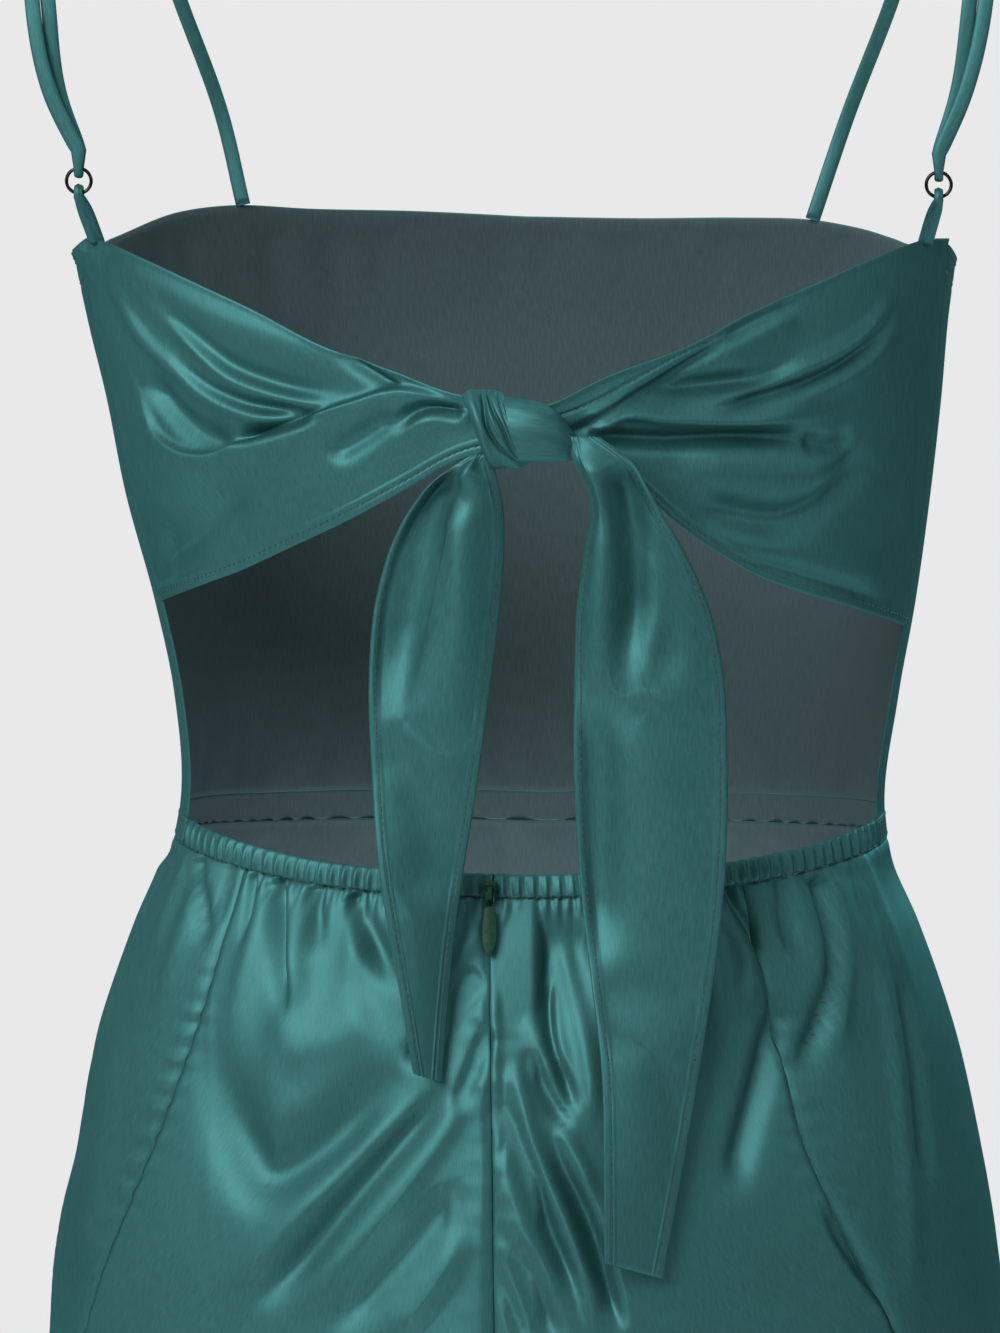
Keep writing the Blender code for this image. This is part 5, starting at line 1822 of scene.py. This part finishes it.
def round_section(sides: int, power: float) -> tuple[np.ndarray, np.ndarray]:
    """A rounded cross-section's two coordinates, from -1 to 1, squarer at a higher power."""
    turn = np.linspace(0.0, 2.0 * math.pi, sides, endpoint=False)
    cos, sin = np.cos(turn), np.sin(turn)
    round_it = (np.abs(cos) ** power + np.abs(sin) ** power) ** (-1 / power)
    return cos * round_it, sin * round_it


@dataclass
class Zip:
    """The zip in the centre-back seam: its tape, coil, slider and teardrop pull tab."""

    finishes: Finishes
    skirt: Skirt
    hinge: tuple[float, float, float] = (9.167, 87.590, -378.5)
    tilt_deg: float = 17.0
    pull_length: float = 21.0
    pull_width: float = 6.0
    pull_thickness: float = 1.0
    coil_top: float = -384.0
    coil_bottom: float = -572.0
    coil_pitch: float = 1.2
    coil_width: float = 4.4

    def coil(self) -> Piece:
        """The nylon coil, two rows of loops that meet, on the tape's inner side."""
        z = np.linspace(self.coil_top, self.coil_bottom, 60)
        angle = self.skirt.seam("centre", z)
        out = np.minimum(self.skirt.folds(angle, z), 0.0) - GAP - 1.6
        line = FORM.point(angle, z, out)
        row = Row(self.finishes.nylon, self.coil_pitch, self.coil_width, 0.42, 6, 90.0)
        return Piece(row.lay("zip_coil", [line]), Body.DRESS, "zip_tape")

    def slider(self) -> list[Piece]:
        """The slider's body, tapered towards its lower end, and the bridge over the pull's bar."""
        hinge = np.array(self.hinge)
        heights = np.array([-3.8, -3.6, -3.0, 0.0, 2.4, 3.5, 3.8])
        widths = np.array([1.2, 1.7, 2.0, 2.2, 2.4, 2.2, 1.8])
        depths = np.array([0.4, 0.7, 0.86, 0.9, 0.9, 0.76, 0.45])
        across, deep = round_section(28, 4.0)
        sections = []
        for height, width, depth in zip(heights, widths, depths):
            x = across * width
            y = deep * depth - 2.2
            sections.append(hinge + np.stack([x, y, np.full(x.shape, height)], axis=-1))
        body = tube("zip_slider_body", np.array(sections), (self.finishes.enamel,))
        arch = (
            (-1.5, -2.05), (0.5, -2.02), (1.3, -1.5), (1.5, 0.0), (1.3, 1.5), (0.5, 2.02), (-1.5, 2.05)
        )
        route = through([(0.0, y, z) for y, z in arch], 0.4) + hinge
        level, normal = frames(route)
        across, deep = round_section(16, 3.0)
        rows = route[:, None] + across[None, :, None] * level[:, None] * 0.75
        rows = rows + deep[None, :, None] * normal[:, None] * 0.36
        bridge = tube("zip_slider_bridge", rows, (self.finishes.enamel,))
        return [
            Piece(body, Body.DRESS, "zip_enamel", ("zip_slider",)),
            Piece(bridge, Body.DRESS, "zip_enamel"),
        ]

    def pull(self) -> Piece:
        """The pull tab, a teardrop with an eye for the slider's bridge."""
        bar, eye_end, sides = 0.5, 4.4, 64
        outline = []
        for step in range(sides):
            turn = 2.0 * math.pi * step / sides
            drop = 0.5 - 0.5 * math.cos(turn)
            half = self.pull_width / 2 * math.sin(turn) * (0.62 + 0.38 * drop)
            outline.append((half, bar - (self.pull_length + bar) * drop))
        outline = [(-1.9, bar), (1.9, bar)] + [at for at in outline if at[1] < -1.0]
        right = sorted([at for at in outline if at[0] >= 0], key=lambda at: -at[1])
        left = sorted([at for at in outline if at[0] < 0], key=lambda at: at[1])
        eye = [(-1.2, -0.5), (1.2, -0.5), (1.2, -eye_end), (-1.2, -eye_end)]
        place = Matrix.Translation([value * MM for value in self.hinge])
        place = place @ Matrix.Rotation(math.radians(90.0 + self.tilt_deg), 4, "X")
        thing = plate(
            "zip_pull_tab", [right + left, eye], self.pull_thickness, 0.28, self.finishes.enamel, place
        )
        return Piece(thing, Body.PULL, "zip_enamel", ("zip_pull",))

    def pieces(self) -> list[Piece]:
        """Makes the zip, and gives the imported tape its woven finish."""
        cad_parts["zip_tape"].material_slots[0].material = self.finishes.tape
        return [self.coil(), *self.slider(), self.pull()]


# ---------------------------------------------------------------------------- straps


@dataclass(frozen=True)
class StrapRow:
    """A place on both straps' middle lines: their depth, height and sideways places."""

    y: float
    z: float
    left: float
    right: float


@dataclass
class Straps:
    """The two shoulder straps with their rings, doubled tabs and sliders."""

    finishes: Finishes
    bodice: Bodice
    width: float = 5.2
    narrow: float = 3.0  # inside a ring
    thickness: float = 2.0
    ring_radius: float = 4.2
    ring_wire: float = 0.6
    loop_radius: float = 2.3
    tab_rise: float = -1.2
    slider_size: tuple[float, float, float] = (8.4, 1.2, 7.2)
    slider_window: tuple[float, float, float] = (6.0, 1.8, 1.7)
    slider_z: float = -49.0
    slider_tilt_deg: float = 10.0
    neck_foot: dict[Side, float] = field(default_factory=lambda: {Side.LEFT: 41.0, Side.RIGHT: 42.5})
    tab_angle: dict[Side, float] = field(default_factory=lambda: {Side.LEFT: 67.5, Side.RIGHT: -68.0})
    ring_place: dict[Side, tuple[float, float, float]] = field(
        default_factory=lambda: {
            Side.LEFT: (151.4, 44.5, -141.0),
            Side.RIGHT: (-140.1, 44.5, -142.0),
        }
    )
    route: tuple[StrapRow, ...] = (
        StrapRow(-70.5, -120.0, 113.5, -109.5),
        StrapRow(-62.0, -79.0, 127.5, -125.0),
        StrapRow(-45.0, -36.0, 141.0, -138.0),
        StrapRow(-25.0, -10.0, 149.0, -146.0),
        StrapRow(-4.0, 1.1, 153.0, -149.0),
        StrapRow(17.0, -8.0, 158.0, -151.5),
        StrapRow(34.0, -36.0, 165.0, -154.0),
        StrapRow(44.0, -80.0, 167.0, -155.5),
        StrapRow(46.5, -112.0, 160.5, -148.5),
    )
    doubled: tuple[StrapRow, ...] = (
        StrapRow(42.2, -112.0, 158.0, -146.0),
        StrapRow(42.5, -80.0, 161.8, -150.2),
        StrapRow(40.0, -58.0, 164.0, -152.5),
    )

    def places(self, rows: Sequence[StrapRow], side: Side) -> list[np.ndarray]:
        """The rows' points on one side."""
        return [np.array([getattr(row, side.value), row.y, row.z]) for row in rows]

    def loop(self, centre: np.ndarray, start_deg: float) -> np.ndarray:
        """The half circle in which cloth turns round a ring's wire."""
        turn = np.radians(np.linspace(start_deg, start_deg - 180.0, 15))
        y = centre[1] + self.loop_radius * np.cos(turn)
        z = centre[2] + self.loop_radius * np.sin(turn)
        return np.stack([np.full(15, centre[0]), y, z], axis=-1)

    def ribbon(
        self, name: str, route: np.ndarray, turn_at: np.ndarray, ridge: float
    ) -> bpy.types.Object:
        """A narrow turned tube of satin that narrows where it goes through a ring."""
        level, normal = frames(route)
        near = np.minimum(1.0, 1.4 * bump(np.linalg.norm(route - turn_at, axis=1), 6.0))
        half = (self.width + (self.narrow - self.width) * near) / 2
        across, deep = round_section(26, 2.5)
        travel = np.arange(len(route))[:, None]
        soft = 1.0 + 0.05 * np.sin(travel / 3.1 + 2.0 * across[None, :])
        deep = deep[None, :] * (1.0 - ridge + ridge * bump(across[None, :] - 0.1, 0.3)) * soft
        rows = route[:, None] + (half[:, None] * across[None, :])[..., None] * level[:, None]
        rows = rows + deep[..., None] * normal[:, None] * self.thickness / 2
        return tube(name, rows, (self.finishes.satin,))

    def strap(self, side: Side) -> Piece:
        """A strap, from the neckline over the shoulder, through the ring and up to its slider."""
        angle = 180.0 - side.sign * self.neck_foot[side]
        z = float(self.bodice.neckline(np.array(angle))) + GAP
        foot = FORM.point(np.array([angle]), np.array([z]), WALL / 2)[0]
        ring = np.array(self.ring_place[side]) + [0.0, 0.0, self.ring_radius]
        loop = self.loop(ring, 0.0)
        lead = np.array([0.0, 0.0, 6.0])
        down = [foot, *self.places(self.route, side), loop[0] + lead]
        up = [loop[-1] + lead, *self.places(self.doubled, side)]
        route = np.concatenate([through(down, 2.5), loop, through(up, 2.5)])
        thing = self.ribbon(f"strap_{side.value}_cloth", route, loop[7], 0.0)
        return satin_piece(thing, f"strap_{side.value}")

    def tab(self, side: Side) -> Piece:
        """The short doubled tab between the ring and the wing's corner."""
        angle = self.tab_angle[side]
        edges = self.bodice.wing_edges
        z = column_at(edges, "angle", "top", abs(angle)) + self.tab_rise
        out = column_at(edges, "angle", "out", abs(angle)) + WALL / 2
        foot = FORM.point(np.array([angle]), np.array([z]), out)[0]
        ring = np.array(self.ring_place[side]) - [0.0, 0.0, self.ring_radius]
        loop = self.loop(ring, 180.0)
        leg = np.array([0.0, 1.4, 0.0])
        drop = np.array([0.0, 0.0, 1.0])
        rising = [foot - leg, (loop[0] + foot - leg) / 2, loop[0] - drop]
        falling = [loop[-1] - drop, (loop[-1] + foot + leg) / 2, foot + leg]
        route = np.concatenate([through(rising, 1.5), loop, through(falling, 1.5)])
        thing = self.ribbon(f"tab_{side.value}_cloth", route, loop[7], 0.3)
        return satin_piece(thing, f"strap_tab_{side.value}")

    def ring(self, side: Side) -> Piece:
        """The round wire ring."""
        turn = np.linspace(0.0, 2.0 * math.pi, 64, endpoint=False)
        outward = np.stack([np.cos(turn), np.zeros(64), np.sin(turn)], axis=-1)
        route = np.array(self.ring_place[side]) + outward * self.ring_radius
        across, deep = round_section(14, 2.0)
        rows = route[:, None] + across[None, :, None] * outward[:, None] * self.ring_wire
        rows = rows + deep[None, :, None] * np.array([0.0, self.ring_wire, 0.0])
        thing = tube(f"ring_{side.value}_wire", rows, (self.finishes.gunmetal,), closed=True)
        return Piece(thing, Body.DRESS, "gunmetal", (f"ring_{side.value}",))

    def slider(self, side: Side) -> Piece:
        """The slider that holds the strap's doubled end, a plate with two windows."""
        rows = self.route[:4:-1]
        y = column_at(rows, "z", "y", self.slider_z)
        x = column_at(rows, "z", side.value, self.slider_z)
        width, depth, height = self.slider_size
        corner = 1.1
        outer = []
        for step in range(24):
            turn = 2.0 * math.pi * (step + 0.5) / 24
            cos, sin = math.cos(turn), math.sin(turn)
            middle_x = math.copysign(width / 2 - corner, cos)
            middle_y = math.copysign(height / 2 - corner, sin)
            outer.append((middle_x + corner * cos, middle_y + corner * sin))
        rings = [outer]
        half, tall, offset = self.slider_window[0] / 2, self.slider_window[1] / 2, self.slider_window[2]
        for middle in (-offset, offset):
            rings.append(
                [(-half, middle - tall), (half, middle - tall),
                 (half, middle + tall), (-half, middle + tall)]
            )
        lift = 1.4 + depth / 2
        place = Matrix.Translation((float(x) * MM, (float(y) + lift) * MM, self.slider_z * MM))
        place = place @ Matrix.Rotation(math.radians(90.0 + self.slider_tilt_deg), 4, "X")
        name = f"slider_{side.value}_plate"
        thing = plate(name, rings, depth, 0.28, self.finishes.gunmetal, place)
        return Piece(thing, Body.DRESS, "gunmetal", (f"strap_slider_{side.value}",))

    def pieces(self) -> list[Piece]:
        """Makes both straps with their fittings."""
        made = []
        for side in Side:
            made += [self.strap(side), self.tab(side), self.ring(side), self.slider(side)]
        return made


# ---------------------------------------------------------------------------- studio


@dataclass(frozen=True)
class Softbox:
    """A square area light: its place, size, power and colour, and where it faces."""

    place: tuple[float, float, float]
    size: float
    watts: float
    colour: str
    aim: tuple[float, float, float] = (0.0, 0.1, -0.35)


@dataclass
class Studio:
    """The pale floor, the soft lights and the camera at the photograph's angle."""

    camera_place: tuple[float, float, float] = (-0.10471, 2.19753, -0.1)
    camera_target: tuple[float, float, float] = (0.0104257, 0.0005464, -0.310242)
    lens: float = 171.51
    floor_radius: float = 4.0
    floor_z: float = -1.40
    paper: str = "#e9e9ea"
    glow_from: tuple[float, float, float] = (0.42, 0.12, 0.90)
    glow: float = 0.56
    glow_start: float = -0.15  # the cosine to glow_from at which the light begins
    glow_full: float = 0.8
    softboxes: tuple[Softbox, ...] = (
        Softbox((1.25, 2.1, 1.2), 1.7, 70.0, "#fffdf8"),
        Softbox((-2.4, 1.3, 0.6), 1.4, 9.0, "#ffffff"),
        Softbox((0.0, -0.5, 2.4), 1.6, 8.0, "#ffffff"),
        Softbox((-1.7, -2.1, 0.8), 1.0, 44.0, "#ffffff"),
        Softbox((0.0, 0.01, -0.54), 0.12, 0.35, "#ffffff", (0.0, -0.09, -0.29)),
    )

    def build(self) -> None:
        """Builds the studio."""
        scene = bpy.context.scene
        scene.view_settings.view_transform = "Standard"
        camera_data = bpy.data.cameras.new("photo camera")
        camera_data.lens = self.lens
        camera_data.sensor_width = 36.0
        camera_data.sensor_fit = "AUTO"
        camera = link("photo camera", camera_data)
        camera.location = self.camera_place
        toward = Vector(self.camera_target) - Vector(self.camera_place)
        camera.rotation_euler = toward.to_track_quat("-Z", "Y").to_euler()
        scene.camera = camera
        for number, softbox in enumerate(self.softboxes):
            self.light(f"softbox_{number}", softbox)
        self.floor()
        self.world()

    def light(self, name: str, softbox: Softbox) -> None:
        """Hangs one soft light that faces the dress."""
        data = bpy.data.lights.new(name, "AREA")
        data.size = softbox.size
        data.energy = softbox.watts
        data.color = linear(softbox.colour)[:3]
        lamp = link(name, data)
        lamp.visible_camera = False
        lamp.location = softbox.place
        toward = Vector(softbox.aim) - Vector(softbox.place)
        lamp.rotation_euler = toward.to_track_quat("-Z", "Y").to_euler()

    def floor(self) -> None:
        """A round plain floor, a little under the hem."""
        turn = np.linspace(0.0, 2.0 * math.pi, 96, endpoint=False)
        ring = np.stack([np.cos(turn), np.sin(turn)], axis=-1) * self.floor_radius
        mesh = bpy.data.meshes.new("floor")
        corners = [(float(x), float(y), self.floor_z) for x, y in ring]
        mesh.from_pydata(corners, [], [list(range(len(corners)))])
        made, _, shader = new_material("pale matt floor")
        set_shader(shader, {"Base Color": linear(self.paper), "Roughness": 0.95})
        mesh.materials.append(made)
        link("floor", mesh)

    def world(self) -> None:
        """Even pale paper to the camera, which lights the dress from above and a little to a side."""
        world = bpy.data.worlds.new("studio")
        world.use_nodes = True
        tree = world.node_tree
        tree.nodes.clear()
        seen = add_node(tree, "ShaderNodeBackground", {"Color": linear(self.paper)}, {})
        here = add_node(tree, "ShaderNodeTexCoord", {}, {})
        facing = add_node(
            tree, "ShaderNodeVectorMath", {"operation": "DOT_PRODUCT", 1: self.glow_from},
            {0: here.outputs["Generated"]},
        )
        limits = {"From Min": self.glow_start, "From Max": self.glow_full}
        strength = add_node(
            tree, "ShaderNodeMapRange", {**limits, "To Min": 0.0, "To Max": self.glow},
            {"Value": facing.outputs["Value"]},
        )
        lit = add_node(
            tree, "ShaderNodeBackground", {"Color": linear(self.paper)},
            {"Strength": strength.outputs["Result"]},
        )
        path = add_node(tree, "ShaderNodeLightPath", {}, {})
        mixed = add_node(
            tree, "ShaderNodeMixShader", {},
            {0: path.outputs["Is Camera Ray"], 1: lit.outputs[0], 2: seen.outputs[0]},
        )
        add_node(tree, "ShaderNodeOutputWorld", {}, {"Surface": mixed.outputs[0]})
        bpy.context.scene.world = world


def ride(piece: Piece) -> None:
    """Puts a finished piece on its body and over the nodes it stands for."""
    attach(piece.thing, piece.body.value)
    if piece.stands_for:
        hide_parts(*piece.stands_for)
    LOG.info("%s rides on %s", piece.thing.name, piece.body.value)


def main() -> None:
    """Builds the dress from the bodice down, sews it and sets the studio."""
    logging.basicConfig(level=logging.INFO, format="%(name)s: %(message)s")
    finishes = Finishes()
    box = SewingBox(finishes)
    bodice = Bodice(finishes, box)
    skirt = Skirt(finishes, box)
    parts = (
        bodice,
        BackTie(finishes, box),
        WaistBand(finishes, box),
        skirt,
        Zip(finishes, skirt),
        Straps(finishes, bodice),
        box,
    )
    for part in parts:
        for piece in part.pieces():
            ride(piece)
    Studio().build()


if __name__ == "__main__":
    main()
